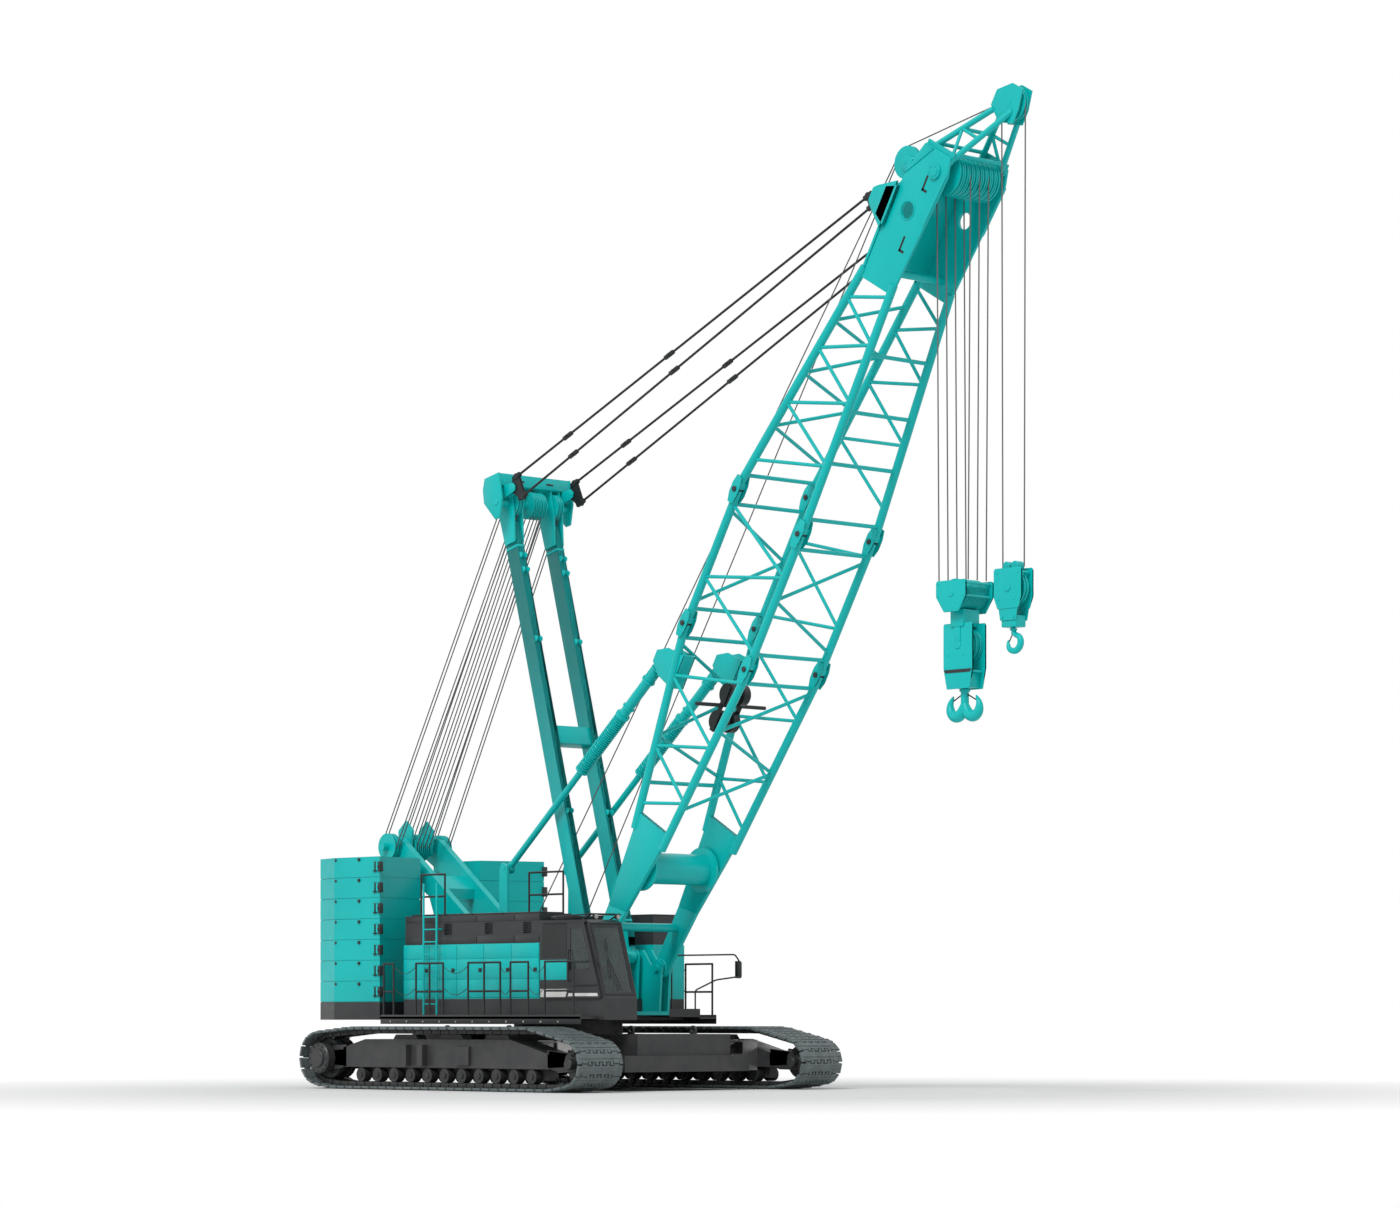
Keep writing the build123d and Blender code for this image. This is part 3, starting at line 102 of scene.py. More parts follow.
def take(name):
    """Names the new primitive and settles its place into its mesh."""
    piece = bpy.context.active_object
    piece.name = name
    piece.data.name = name
    bpy.ops.object.transform_apply(location=True, rotation=True, scale=True)
    return piece


def soften(piece, width, segments=2, angle=35):
    """Rounds the sharp edges of a piece."""
    choose(piece)
    if not width:
        return piece
    edge = piece.modifiers.new("edge", "BEVEL")
    edge.width, edge.segments = width, segments
    edge.limit_method, edge.angle_limit = "ANGLE", math.radians(angle)
    bpy.ops.object.modifier_apply(modifier="edge")
    return piece


def block(name, low, high, edge=0.01):
    """A block between two corners, with rounded edges."""
    deselect()
    low, high = Vector(low), Vector(high)
    bpy.ops.mesh.primitive_cube_add(size=1, location=(low + high) / 2, scale=high - low)
    return soften(take(name), edge)


def plate(name, outline, y0, y1, edge=0.008):
    """A flat plate whose side outline is a convex row of (x, z) points."""
    xs, zs = [p[0] for p in outline], [p[1] for p in outline]
    piece = block(name, (min(xs), y0, min(zs)), (max(xs), y1, max(zs)), 0)
    bpy.ops.object.mode_set(mode="EDIT")
    centre = Vector((sum(xs) / len(xs), sum(zs) / len(zs)))
    for (xa, za), (xb, zb) in zip(outline, outline[1:] + outline[:1]):
        away = Vector((zb - za, 0, xa - xb)).normalized()
        if away.dot(Vector((xa - centre.x, 0, za - centre.y))) < 0:
            away.negate()
        bpy.ops.mesh.select_all(action="SELECT")
        bpy.ops.mesh.bisect(plane_co=(xa, (y0 + y1) / 2, za), plane_no=away, use_fill=True, clear_outer=True)
    bpy.ops.object.mode_set(mode="OBJECT")
    return soften(piece, edge)


def drum(name, start, end, radius, sides=24, edge=0.006):
    """A round piece between two points, with its rims rounded."""
    deselect()
    start, end = Vector(start), Vector(end)
    way = end - start
    bpy.ops.mesh.primitive_cylinder_add(vertices=sides, radius=radius, depth=way.length,
                                        location=(start + end) / 2,
                                        rotation=way.to_track_quat("Z", "Y").to_euler())
    piece = take(name)
    return soften(piece, edge, 1, 50) if edge else piece


def shaft(name, x, z, y0, y1, radius, sides=24, edge=0.006):
    """A round piece that lies across the machine."""
    return drum(name, (x, y0, z), (x, y1, z), radius, sides, edge)


def rounded(points, radius, steps=4):
    """A row of points whose corners are rounded."""
    points = [Vector(p) for p in points]
    row = [points[0]]
    for before, corner, after in zip(points, points[1:], points[2:]):
        a, b = (before - corner), (after - corner)
        reach = min(radius, a.length * 0.49, b.length * 0.49)
        a, b = corner + a.normalized() * reach, corner + b.normalized() * reach
        for i in range(steps + 1):
            t = i / steps
            row.append(a * (1 - t) ** 2 + corner * 2 * t * (1 - t) + b * t * t)
    return row + [points[-1]]


def bring(name, data):
    """A new object in the scene."""
    piece = bpy.data.objects.new(name, data)
    bpy.context.collection.objects.link(piece)
    return piece


def swept(name, kind, points, radius, sides):
    """A closed round bar along a curve of one kind, and the run that carries its points."""
    deselect()
    line = bpy.data.curves.new(name, "CURVE")
    line.dimensions = "3D"
    line.bevel_depth, line.bevel_resolution, line.use_fill_caps = radius, sides, True
    run = line.splines.new(kind)
    run.points.add(len(points) - 1)
    for spot, place in zip(run.points, points):
        spot.co = (*place, 1)
    return bring(name, line), run


def as_mesh(piece):
    """Turns a curve into a mesh."""
    choose(piece)
    bpy.ops.object.convert(target="MESH")
    return bpy.context.active_object


def pipe(name, points, radius, bend=0.0, sides=4):
    """A bent tube through points, with its ends closed."""
    piece, _ = swept(name, "POLY", rounded(points, bend) if bend else points, radius, sides)
    return as_mesh(piece)


def tapered(name, points, radii, sides=6):
    """A forged bar through points, with its own thickness at each."""
    piece, run = swept(name, "NURBS", points, 1.0, sides)
    for spot, radius in zip(run.points, radii):
        spot.radius = radius
    run.order_u, run.use_endpoint_u, run.resolution_u = 3, True, 5
    return as_mesh(piece)


def sheave(name, x, z, radius, y0, y1):
    """A grooved rope wheel: two rims, a deep groove and a raised hub."""
    width = y1 - y0
    rims = [shaft("rim", x, z, y, y + width * 0.3, radius, 32) for y in (y0, y1 - width * 0.3)]
    core = shaft("groove", x, z, y0 + 0.002, y1 - 0.002, radius - 0.05, 32, 0)
    hub = shaft("hub", x, z, y0 - 0.01, y1 + 0.01, radius * 0.3)
    return join(name, [*rims, core, hub])


def pierce(piece, tool):
    """Cuts one shape out of another."""
    choose(piece)
    cut = piece.modifiers.new("Cut", "BOOLEAN")
    cut.operation, cut.solver, cut.object = "DIFFERENCE", "EXACT", tool
    bpy.ops.object.modifier_apply(modifier=cut.name)
    bpy.data.objects.remove(tool)
    return piece


def join(name, pieces):
    """Welds several pieces into one object."""
    choose(pieces[0])
    for piece in pieces[1:]:
        piece.select_set(True)
    bpy.ops.object.join()
    pieces[0].name = name
    pieces[0].data.name = name
    return pieces[0]


def copy_of(piece, move):
    """A copy with its own mesh, moved by a matrix."""
    twin = bring(piece.name, piece.data.copy())
    twin.data.transform(move)
    return twin


def mirrored(half, middle=0.0):
    """A whole outline from the half in front of its upright middle line."""
    return half + [(2 * middle - x, z) for x, z in reversed(half)]


def ring(x, z, radius, count):
    """Places spaced evenly on a circle in the side view."""
    turns = [2 * math.pi * i / count for i in range(count)]
    return [(x + radius * math.cos(t), z + radius * math.sin(t)) for t in turns]


def span(side, a, b):
    """Two distances on one side of a middle plane, the lower value first."""
    return sorted((side * a, side * b))


def side_block(name, side, xs, ys, zs, edge=0.01):
    """A block on one side of the machine, between two distances from its middle plane."""
    y0, y1 = span(side, *ys)
    return block(name, (xs[0], y0, zs[0]), (xs[1], y1, zs[1]), edge)


def paint(piece, finish):
    """Gives a whole piece one finish."""
    piece.data.materials.clear()
    piece.data.materials.append(finish)
    return piece


def seat(piece, body, place=None, smooth=35):
    """Puts a finished piece in place and lets it ride with a body."""
    if place is not None:
        piece.data.transform(place)
    choose(piece)
    bpy.ops.object.shade_smooth_by_angle(angle=math.radians(smooth))
    if body:
        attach(piece, body)
    return piece


def dress(name, parts, finish, body, place=None):
    """Joins parts, paints them and seats them as one piece, by default in its body's own frame."""
    return seat(paint(join(name, parts), finish), body, BODY_FRAME[body] if place is None else place)


# ---------- finishes
def new_finish(name):
    """A new material with its node tree and its shader."""
    finish = bpy.data.materials.new(name)
    finish.use_nodes = True
    return finish, finish.node_tree, finish.node_tree.nodes["Principled BSDF"]


def add(tree, kind):
    """A new shading node."""
    return tree.nodes.new("ShaderNode" + kind)


def link(tree, source, target):
    """Joins two sockets."""
    tree.links.new(source, target)


def wire(tree, source, output, target, entry):
    """Joins an output of one node to an input of another."""
    link(tree, source.outputs[output], target.inputs[entry])


def dial(node, **numbers):
    """Sets a node's inputs by name, with an underscore for each space."""
    for name, number in numbers.items():
        node.inputs[name.replace("_", " ")].default_value = number


def own_place(tree):
    """The object's own coordinates."""
    return add(tree, "TexCoord").outputs["Object"]


def noise(tree, scale, detail, stretch=(1, 1, 1), rough=0.55):
    """Cloudy variation over the object's own coordinates."""
    place = own_place(tree)
    turn = add(tree, "Mapping")
    dial(turn, Scale=stretch)
    cloud = add(tree, "TexNoise")
    dial(cloud, Scale=scale, Detail=detail, Roughness=rough)
    link(tree, place, turn.inputs["Vector"])
    wire(tree, turn, "Vector", cloud, "Vector")
    return cloud.outputs["Fac"]


def spread(tree, value, low, high, to_low, to_high):
    """Maps a value's range to another."""
    ramp = add(tree, "MapRange")
    dial(ramp, From_Min=low, From_Max=high, To_Min=to_low, To_Max=to_high)
    link(tree, value, ramp.inputs["Value"])
    return ramp.outputs["Result"]


def blend_colours(tree, share, first, second):
    """Mixes two colours, or a colour and a socket, by a share."""
    mixer = add(tree, "Mix")
    mixer.data_type = "RGBA"
    link(tree, share, mixer.inputs["Factor"])
    for socket, value in ((mixer.inputs[6], first), (mixer.inputs[7], second)):
        if isinstance(value, tuple):
            socket.default_value = (*value, 1)
        else:
            link(tree, value, socket)
    return mixer.outputs[2]


def emboss(tree, shader, height, strength, distance):
    """Raises the surface by a height value."""
    bump = add(tree, "Bump")
    dial(bump, Strength=strength, Distance=distance)
    link(tree, height, bump.inputs["Height"])
    wire(tree, bump, "Normal", shader, "Normal")


def coat(tree, shader, tone, scale, detail, gloss):
    """Gives the shader its colour and a roughness that varies like clouds."""
    link(tree, tone, shader.inputs["Base Color"])
    link(tree, spread(tree, noise(tree, scale, detail), 0.3, 0.7, *gloss), shader.inputs["Roughness"])


def enamel(name, colour, shade, worn, gloss=(0.3, 0.45), wear=0.25, dust=0.1):
    """Sprayed machine paint: soft colour variation, thin scuffs, dust low down, fine orange peel."""
    finish, tree, shader = new_finish(name)
    tone = blend_colours(tree, spread(tree, noise(tree, 0.5, 4), 0.35, 0.65, 0, 1), colour, shade)
    scuffs = spread(tree, noise(tree, 7, 8, (1, 1, 2.4), 0.7), 0.62, 0.74, 0, wear)
    tone = blend_colours(tree, scuffs, tone, worn)
    place = own_place(tree)
    split = add(tree, "SeparateXYZ")
    link(tree, place, split.inputs["Vector"])
    low = spread(tree, split.outputs["Z"], 0.0, 2.6, dust, 0.0)
    grime = add(tree, "Math")
    grime.operation = "MULTIPLY"
    link(tree, low, grime.inputs[0])
    link(tree, spread(tree, noise(tree, 3, 6), 0.35, 0.7, 0.2, 1.6), grime.inputs[1])
    tone = blend_colours(tree, grime.outputs["Value"], tone, (0.22, 0.2, 0.17))
    coat(tree, shader, tone, 2.5, 5, gloss)
    emboss(tree, shader, noise(tree, 55, 3), 0.05, 0.004)
    dial(shader, Specular_IOR_Level=0.3, Coat_Weight=0.05, Coat_Roughness=0.18)
    return finish


def raw_steel(name, colour, shade, metal=0.6, gloss=(0.4, 0.6), grain=30.0):
    """Worn bare metal with scratches and patches."""
    finish, tree, shader = new_finish(name)
    tone = blend_colours(tree, spread(tree, noise(tree, 4, 7), 0.3, 0.7, 0, 1), colour, shade)
    coat(tree, shader, tone, 9, 5, gloss)
    dial(shader, Metallic=metal)
    emboss(tree, shader, noise(tree, grain, 6), 0.25, 0.004)
    return finish


def stranded(name, colour, shade):
    """Laid wire rope: slanting strands along the rope."""
    finish, tree, shader = new_finish(name)
    place = own_place(tree)
    wave = add(tree, "TexWave")
    dial(wave, Scale=14, Distortion=0.6)
    wave.bands_direction = "DIAGONAL"
    link(tree, place, wave.inputs["Vector"])
    coat(tree, shader, blend_colours(tree, wave.outputs["Fac"], colour, shade), 20, 3, (0.4, 0.6))
    dial(shader, Metallic=0.5)
    emboss(tree, shader, wave.outputs["Fac"], 0.4, 0.004)
    return finish


def tinted_glass(name):
    """Dark safety glass."""
    finish, tree, shader = new_finish(name)
    tone = blend_colours(tree, spread(tree, noise(tree, 1.5, 3), 0.3, 0.7, 0, 1), (0.05, 0.07, 0.07),
                         (0.075, 0.095, 0.095))
    coat(tree, shader, tone, 6, 3, (0.03, 0.08))
    dial(shader, Alpha=0.55, IOR=1.45, Specular_IOR_Level=0.6)
    return finish


TEAL = enamel("teal_enamel", (0.0, 0.545, 0.53), (0.0, 0.5, 0.488), (0.03, 0.62, 0.6), wear=0.35, dust=0.06)
TEAL_CAST = enamel("teal_cast_paint", (0.0, 0.54, 0.525), (0.0, 0.49, 0.478), (0.04, 0.6, 0.585),
                   (0.38, 0.5), 0.5, 0.04)
CHARCOAL = enamel("charcoal_enamel", (0.04, 0.042, 0.045), (0.03, 0.032, 0.035), (0.075, 0.078, 0.08),
                  (0.32, 0.48), 0.35)
BLACK = enamel("black_enamel", (0.022, 0.024, 0.026), (0.015, 0.016, 0.018), (0.05, 0.05, 0.052),
               (0.35, 0.5), 0.3, 0.12)
SIGNAL_WHITE = enamel("white_stripe_enamel", (0.8, 0.8, 0.78), (0.74, 0.74, 0.72), (0.6, 0.6, 0.58))
SHOE_STEEL = raw_steel("shoe_steel", (0.155, 0.185, 0.188), (0.105, 0.128, 0.13), 0.25, (0.5, 0.7), 18)
DARK_STEEL = raw_steel("dark_steel", (0.035, 0.036, 0.038), (0.055, 0.055, 0.056), 0.4, (0.45, 0.65))
BARE_STEEL = raw_steel("bare_steel", (0.45, 0.45, 0.44), (0.33, 0.33, 0.33), 0.8, (0.25, 0.4))
WIRE = stranded("wire_rope", (0.2, 0.2, 0.2), (0.07, 0.07, 0.07))
GLASS = tinted_glass("tinted_glass")
DARK_GLASS = enamel("dark_glass", (0.012, 0.014, 0.015), (0.018, 0.021, 0.022), (0.03, 0.032, 0.034),
                    (0.05, 0.12), 0.05, 0.02)
SEAT_CLOTH = raw_steel("seat_cloth", (0.03, 0.03, 0.034), (0.045, 0.045, 0.05), 0.0, (0.8, 0.95), 120)

# every node that is not named here is teal
NODE_FINISH = {
    TEAL_CAST: ("counterweight_right", "counterweight_left"),
    CHARCOAL: ("side_frame_right", "side_frame_left", "car_body", "car_body_weights", "upper_frame",
               "house_casing_right", "house_casing_left", "catwalks", "cab_shell", "cab_door",
               "winch_drums", "counterweight_base"),
    BLACK: ("guard_rails", "mirror_arm", "pendants", "cable_reels"),
    SHOE_STEEL: ("track_right", "track_left"),
    DARK_STEEL: ("drive_tumblers", "idlers", "track_rollers", "slewing_ring"),
    BARE_STEEL: ("access_steps",),
    WIRE: ("main_falls", "aux_falls"),
    GLASS: ("cab_door_glass",),
    SEAT_CLOTH: ("operator_seat",),
}
for name, node in frame["nodes"].items():
    finish = next((finish for finish, names in NODE_FINISH.items() if name in names), TEAL)
    for slot in node.material_slots:
        slot.material = finish


# ---------- boom hoist ropes
GANTRY_HEAD = MACHINE @ Vector((-5.2, 0, 5.38))
MAST_HEAD = MAST @ Vector((SHEAVE_X, 0, SHEAVE_Z))
ROPE = 0.013
# gantry Y and mast Y of each rope; they lie over and under the sheaves by turns
HOIST_ROPES = [(-0.79, -0.66), (-0.75, -0.62), (-0.7, -0.57), (-0.66, -0.53), (-0.2, -0.17), (-0.14, -0.12),
               (-0.08, -0.07), (-0.02, -0.02), (0.04, 0.03), (0.1, 0.08), (0.16, 0.13), (0.21, 0.17), (0.66, 0.53),
               (0.7, 0.57), (0.75, 0.62), (0.79, 0.66)]
GROOVE_REACH = 0.262    # from the sheaves' shaft to the rope in their grooves
climb = (MAST_HEAD - GANTRY_HEAD).normalized()
off_line = Vector((-climb.z, 0, climb.x)) * GROOVE_REACH
ropes = []
for i, (low_y, high_y) in enumerate(HOIST_ROPES):
    side = 1 if i % 2 else -1
    low = GANTRY_HEAD + off_line * side + Vector((0, low_y, 0))
    high = MAST_HEAD + off_line * side + Vector((0, high_y, 0))
    ropes.append(drum("boom_hoist_rope", low, high, ROPE, 8, 0))
hoist = paint(join("boom_hoist_ropes", ropes), WIRE)
seat(hoist, None)
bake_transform(hoist)

# ---------- hoist ropes up the boom's back
GUIDE = BOOM @ Vector((GUIDE_X, 0, GUIDE_Z))
DRUM_Z, DRUM_REACH = 2.42, 0.29         # the winch drums' shafts, and from there to the rope
lines = []
for y, drum_x in ((-0.07, -1.45), (0.07, -0.38)):
    start = MACHINE @ Vector((drum_x, y * 4, DRUM_Z + DRUM_REACH))
    lines.append(drum("hoist_line", start, GUIDE + Vector((-0.23, y * 0.3, 0.2)), ROPE, 8, 0))
winch_lines = paint(join("hoist_lines", lines), WIRE)
seat(winch_lines, None)
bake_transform(winch_lines)

OVER_HEAD = ((17.8, 1.18), (18.15, 1.26), (19.9, -0.76), (20.3, -0.9))
over = pipe("aux_line_over_the_head", [BOOM @ Vector((x, 0, z)) for x, z in OVER_HEAD], ROPE, 0.3)
seat(paint(over, WIRE), "boom")

# ---------- house panels
# X of the seams between the side doors and Z of the creases along them
PANEL_SEAMS, PANEL_CREASES = (-3.05, -2.15, -1.25, -0.35, 0.55, 1.44), (1.965, 2.36, 2.8, 3.105)
HOUSE_FACE = 2.1
PANEL_FACES = (HOUSE_FACE - 0.004, HOUSE_FACE + 0.016)
LATCH_FACES = (HOUSE_FACE + 0.01, HOUSE_FACE + 0.032)
panels, latches = [], []
for side in (-1, 1):
    for x0, x1 in zip(PANEL_SEAMS, PANEL_SEAMS[1:]):
        for z0, z1 in zip(PANEL_CREASES, PANEL_CREASES[1:]):
            panels.append(side_block("house_panel", side, (x0 + 0.006, x1 - 0.006), PANEL_FACES, (z0, z1), 0.009))
        latches.append(side_block("latch", side, (x1 - 0.16, x1 - 0.06), LATCH_FACES, (2.52, 2.6), 0.006))
dress("house_panels", panels, TEAL, "upper")
dress("house_latches", latches, BLACK, "upper")

# louvres in the casings' openings and lids on the roofs
slats = []
for side in (-1, 1):
    for x in (-1.7, -0.35, 0.9):
        for i in range(6):
            z = 3.36 + i * 0.036
            slats.append(side_block("louvre", side, (x + 0.008, x + 0.252), (2.035, 2.078), (z, z + 0.012), 0.002))
    for x0, x1 in ((-2.9, -2.0), (-1.9, -0.9), (-0.8, 0.1), (0.2, 1.3)):
        slats.append(side_block("roof_lid", side, (x0, x1), (1.3, 2.0), (3.748, 3.785), 0.012))
dress("casing_louvres_and_lids", slats, CHARCOAL, "upper")
seams = []
for side in (-1, 1):
    for x0, x1 in ((-2.98, -1.95), (-1.93, -0.62), (-0.6, 0.62), (0.64, 1.42)):
        for zs in ((3.14, 3.29), (3.6, 3.73)):
            seams.append(side_block("casing_panel", side, (x0, x1), (2.076, 2.092), zs, 0.006))
dress("casing_panels", seams, CHARCOAL, "upper")

# ---------- cab
CAB_FRONT, CAB_LEAN, CAB_FLOOR = 3.49, 0.308, 1.94    # X at the floor, lean per metre of height, Z of the floor


def pillar(z):
    """X of the cab's front face at a height."""
    return CAB_FRONT - CAB_LEAN * (z - CAB_FLOOR)


panes = [plate("windscreen", [(pillar(2.06) - 0.035, 2.06), (pillar(2.06) - 0.012, 2.06),
                              (pillar(3.45) - 0.012, 3.45), (pillar(3.45) - 0.035, 3.45)], -2.02, -1.26, 0.002),
         block("inner_window", (1.78, -1.222, 2.62), (2.97, -1.208, 3.41), 0.002),
         block("rear_window", (1.488, -1.93, 3.17), (1.5, -1.35, 3.48), 0.002)]
dress("cab_windows", panes, GLASS, "upper")
dark_side = [plate("side_pane", [(1.53, 2.8), (2.31, 2.8), (2.31, 3.46), (1.53, 3.46)], -2.1045, -2.09, 0.001)]
dress("cab_side_pane", dark_side, DARK_GLASS, "upper")
panel = block("cab_teal_panel", (1.47, -2.1045, 2.33), (2.31, -2.09, 2.75), 0.002)
seat(paint(panel, TEAL), "upper", MACHINE)
stripe = plate("sill_stripe", [(1.48, 1.965), (2.27, 1.965), (2.34, 2.14), (1.48, 2.14)], -2.106, -2.1, 0.001)
seat(paint(stripe, SIGNAL_WHITE), "upper", MACHINE)
stripe = plate("door_stripe", [(2.4, 1.985), (3.34, 1.985), (3.32, 2.05), (2.43, 2.05)], -2.156, -2.15, 0.001)
seat(paint(stripe, SIGNAL_WHITE), "door", MACHINE)
trim = [block("door_handle", (2.44, -2.185, 2.52), (2.47, -2.15, 2.72), 0.006),
        block("door_rail", (2.5, -2.172, 2.2), (3.3, -2.15, 2.235), 0.006),
        pipe("door_grip", [(2.47, -2.155, 2.3), (2.47, -2.2, 2.3), (2.47, -2.2, 2.95), (2.47, -2.155, 2.95)],
             0.012, 0.03)]
dress("door_trim", trim, BLACK, "door")

# windscreen frame, wiper, roof guard and lamps
CAB_BARS = [("pillar_edge", (pillar(2.02) + 0.004, y, 2.02), (pillar(3.5) + 0.004, y, 3.5), 0.016)
            for y in (-2.06, -1.22)]
CAB_BARS += [("sill_edge", (pillar(z) + 0.004, -2.06, z), (pillar(z) + 0.004, -1.22, z), 0.016) for z in (2.02, 3.5)]
CAB_BARS += [("roof_guard_leg", (2.72, y, 3.585), (2.98, y, 3.7), 0.018) for y in (-2.02, -1.26)]
CAB_BARS += [("wiper", (pillar(2.1) + 0.03, -1.6, 2.12), (pillar(2.75) + 0.03, -1.78, 2.75), 0.01),
             ("wiper_blade", (pillar(2.35) + 0.025, -1.82, 2.35), (pillar(3.2) + 0.025, -1.74, 3.2), 0.012),
             ("roof_guard", (2.98, -2.09, 3.7), (2.98, -1.19, 3.7), 0.022),
             ("roof_guard_rear", (2.0, -2.09, 3.66), (2.98, -2.09, 3.7), 0.016),
             ("roof_guard_post", (2.0, -2.09, 3.585), (2.0, -2.09, 3.66), 0.016)]
frame_bars = [pipe(name, [low, high], radius) for name, low, high, radius in CAB_BARS]
frame_bars.append(block("roof_unit", (1.6, -1.95, 3.585), (2.35, -1.35, 3.68), 0.03))
dress("cab_frame_and_wiper", frame_bars, BLACK, "upper")
grips = [pipe("corner_grip", [(3.1, -2.11, 3.3), (3.16, -2.17, 3.26), (3.34, -2.17, 2.7), (3.3, -2.11, 2.62)],
              0.015, 0.04)]
lamps = []
for y in (-1.95, -1.33):
    grips.append(drum("lamp_body", (3.0, y, 3.66), (3.07, y, 3.65), 0.062, 20, 0.012))
    lamps.append(drum("lamp_glass", (3.068, y, 3.65), (3.082, y, 3.648), 0.052, 20))
dress("corner_grip_and_lamp_bodies", grips, BLACK, "upper")
dress("lamp_glasses", lamps, BARE_STEEL, "upper")

# console, levers and head rest inside
inside = [block("screen", (2.95, -1.98, 2.62), (3.0, -1.72, 2.86), 0.015),
          block("head_rest", (2.02, -1.76, 3.06), (2.12, -1.52, 3.22), 0.03)]
for y in (-1.9, -1.36):
    inside += [block("console", (2.55, y - 0.08, 2.0), (2.95, y + 0.08, 2.62), 0.03),
               pipe("lever", [(2.75, y, 2.6), (2.78, y, 2.8)], 0.016)]
dress("cab_controls", inside, SEAT_CLOTH, "upper")

# ---------- catwalk edges, chains and pins
RAIL_Y = 2.56
edges, chains, pins = [], [], []
for side, ends, front in ((-1, [(-2.84, -2.08), (-1.17, -0.34), (0.71, 1.04), (1.61, 2.14)], 3.3),
                          (1, [(-2.84, -2.08), (-1.17, -0.34), (0.71, 1.0)], 1.94)):
    edges.append(side_block("toe_board", side, (-3.25, front), (2.585, 2.6), (1.4, 1.6), 0.004))
    for x0, x1 in ends:
        for z in (2.18, 2.64):
            shares = (0, 0.2, 0.4, 0.6, 0.8, 1)
            sag = [(x0 + (x1 - x0) * t, side * RAIL_Y, z - 0.16 * math.sin(math.pi * t)) for t in shares]
            chains.append(pipe("chain", sag, 0.007, 0.05, 2))
    for i in range(int((front + 3.0) / 0.55)):
        pins.append(shaft("edge_pin", -2.9 + i * 0.55, 1.45, side * 2.598, side * 2.612, 0.022, 12, 0.003))
dress("catwalk_edges", edges, CHARCOAL, "upper")
dress("rail_chains", chains, DARK_STEEL, "upper")
dress("edge_pins", pins, BARE_STEEL, "upper")

# ---------- counterweight lugs and pins
lugs, studs = [], []
for side in (-1, 1):
    for i in range(7):
        z = 1.88 + i * 0.457
        for x in (-3.5, -3.66):
            lugs.append(side_block("weight_lug", side, (x - 0.045, x + 0.045), (2.35, 2.45), (z + 0.12, z + 0.34),
                                   0.012))
        studs.append(shaft("weight_stud", -3.5, z + 0.23, side * 2.34, side * 2.47, 0.03, 14, 0.004))
        for x in (-4.2, -5.0):
            studs.append(shaft("weight_stud", x, z + 0.4, side * 2.42, side * 2.46, 0.035, 14, 0.004))
dress("weight_lugs", lugs, DARK_STEEL, "upper")
dress("weight_studs", studs, DARK_STEEL, "upper")

# ---------- hook blocks
MAIN_TOP, MAIN_DEPTH = 10.12, 2.12    # height of the main block's top, and its depth down to the hook
AUX_TOP, AUX_DEPTH = 10.29, 1.18
MAIN = Matrix.Translation((joint_place("main_block_plumb").x, 0, MAIN_TOP))
AUX = Matrix.Translation((joint_place("aux_block_plumb").x, 0, AUX_TOP))
UPPER_CHEEK = mirrored([(0.365, 0.0), (0.395, -0.03), (0.395, -0.32), (0.19, -0.62)])
LOWER_CHEEK = mirrored([(0.36, -0.83), (0.385, -0.86), (0.385, -1.73), (0.3, -2.12)])
body = []
for name, outline, ys in (("upper_cheek", UPPER_CHEEK, (-0.41, 0.375)),
                          ("lower_cheek", LOWER_CHEEK, (-0.205, 0.17))):
    body += [plate(name, outline, y, y + 0.035, 0.006) for y in ys]
for y in (-0.3, -0.22, -0.14, -0.06, 0.02, 0.1, 0.18, 0.26):
    body.append(sheave("upper_sheave", 0, -0.26, 0.3, y, y + 0.06))
for y in (-0.15, -0.03, 0.09):
    body.append(sheave("lower_sheave", 0, -1.26, 0.34, y, y + 0.065))
body += [block("waist", (-0.17, -0.24, -0.9), (0.17, 0.24, -0.56), 0.012),
         shaft("upper_pin", 0, -0.26, -0.43, 0.43, 0.07, 24, 0.01),
         shaft("lower_pin", 0, -1.26, -0.225, 0.225, 0.08, 24, 0.01),
         block("crosshead", (-0.24, -0.17, -2.1), (0.24, 0.17, -1.8), 0.02),
         block("strap", (-0.075, -0.225, -1.2), (0.075, -0.2, -0.88)),
         block("strap", (-0.075, 0.2, -1.2), (0.075, 0.225, -0.88))]
for reach, radius, places in ((0.42, 0.022, ((-0.33, -0.06), (0.33, -0.06), (-0.33, -0.31), (0.33, -0.31))),
                              (0.215, 0.026, ((-0.25, -1.45), (0.15, -1.45), (-0.3, -1.78), (0.3, -1.78)))):
    body += [shaft("spacer", x, z, -reach, reach, radius, 12, 0.004) for x, z in places]
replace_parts(dress("main_hook_block", body, TEAL, "main_block", MAIN), "main_block")
COVER_FOLD = mirrored([(0.37, -1.74), (0.33, -1.8)])
folds = [plate("cover_fold", COVER_FOLD, y, y + 0.012, 0.003) for y in (-0.217, 0.205)]
dress("main_block_folds", folds, DARK_STEEL, "main_block", MAIN)

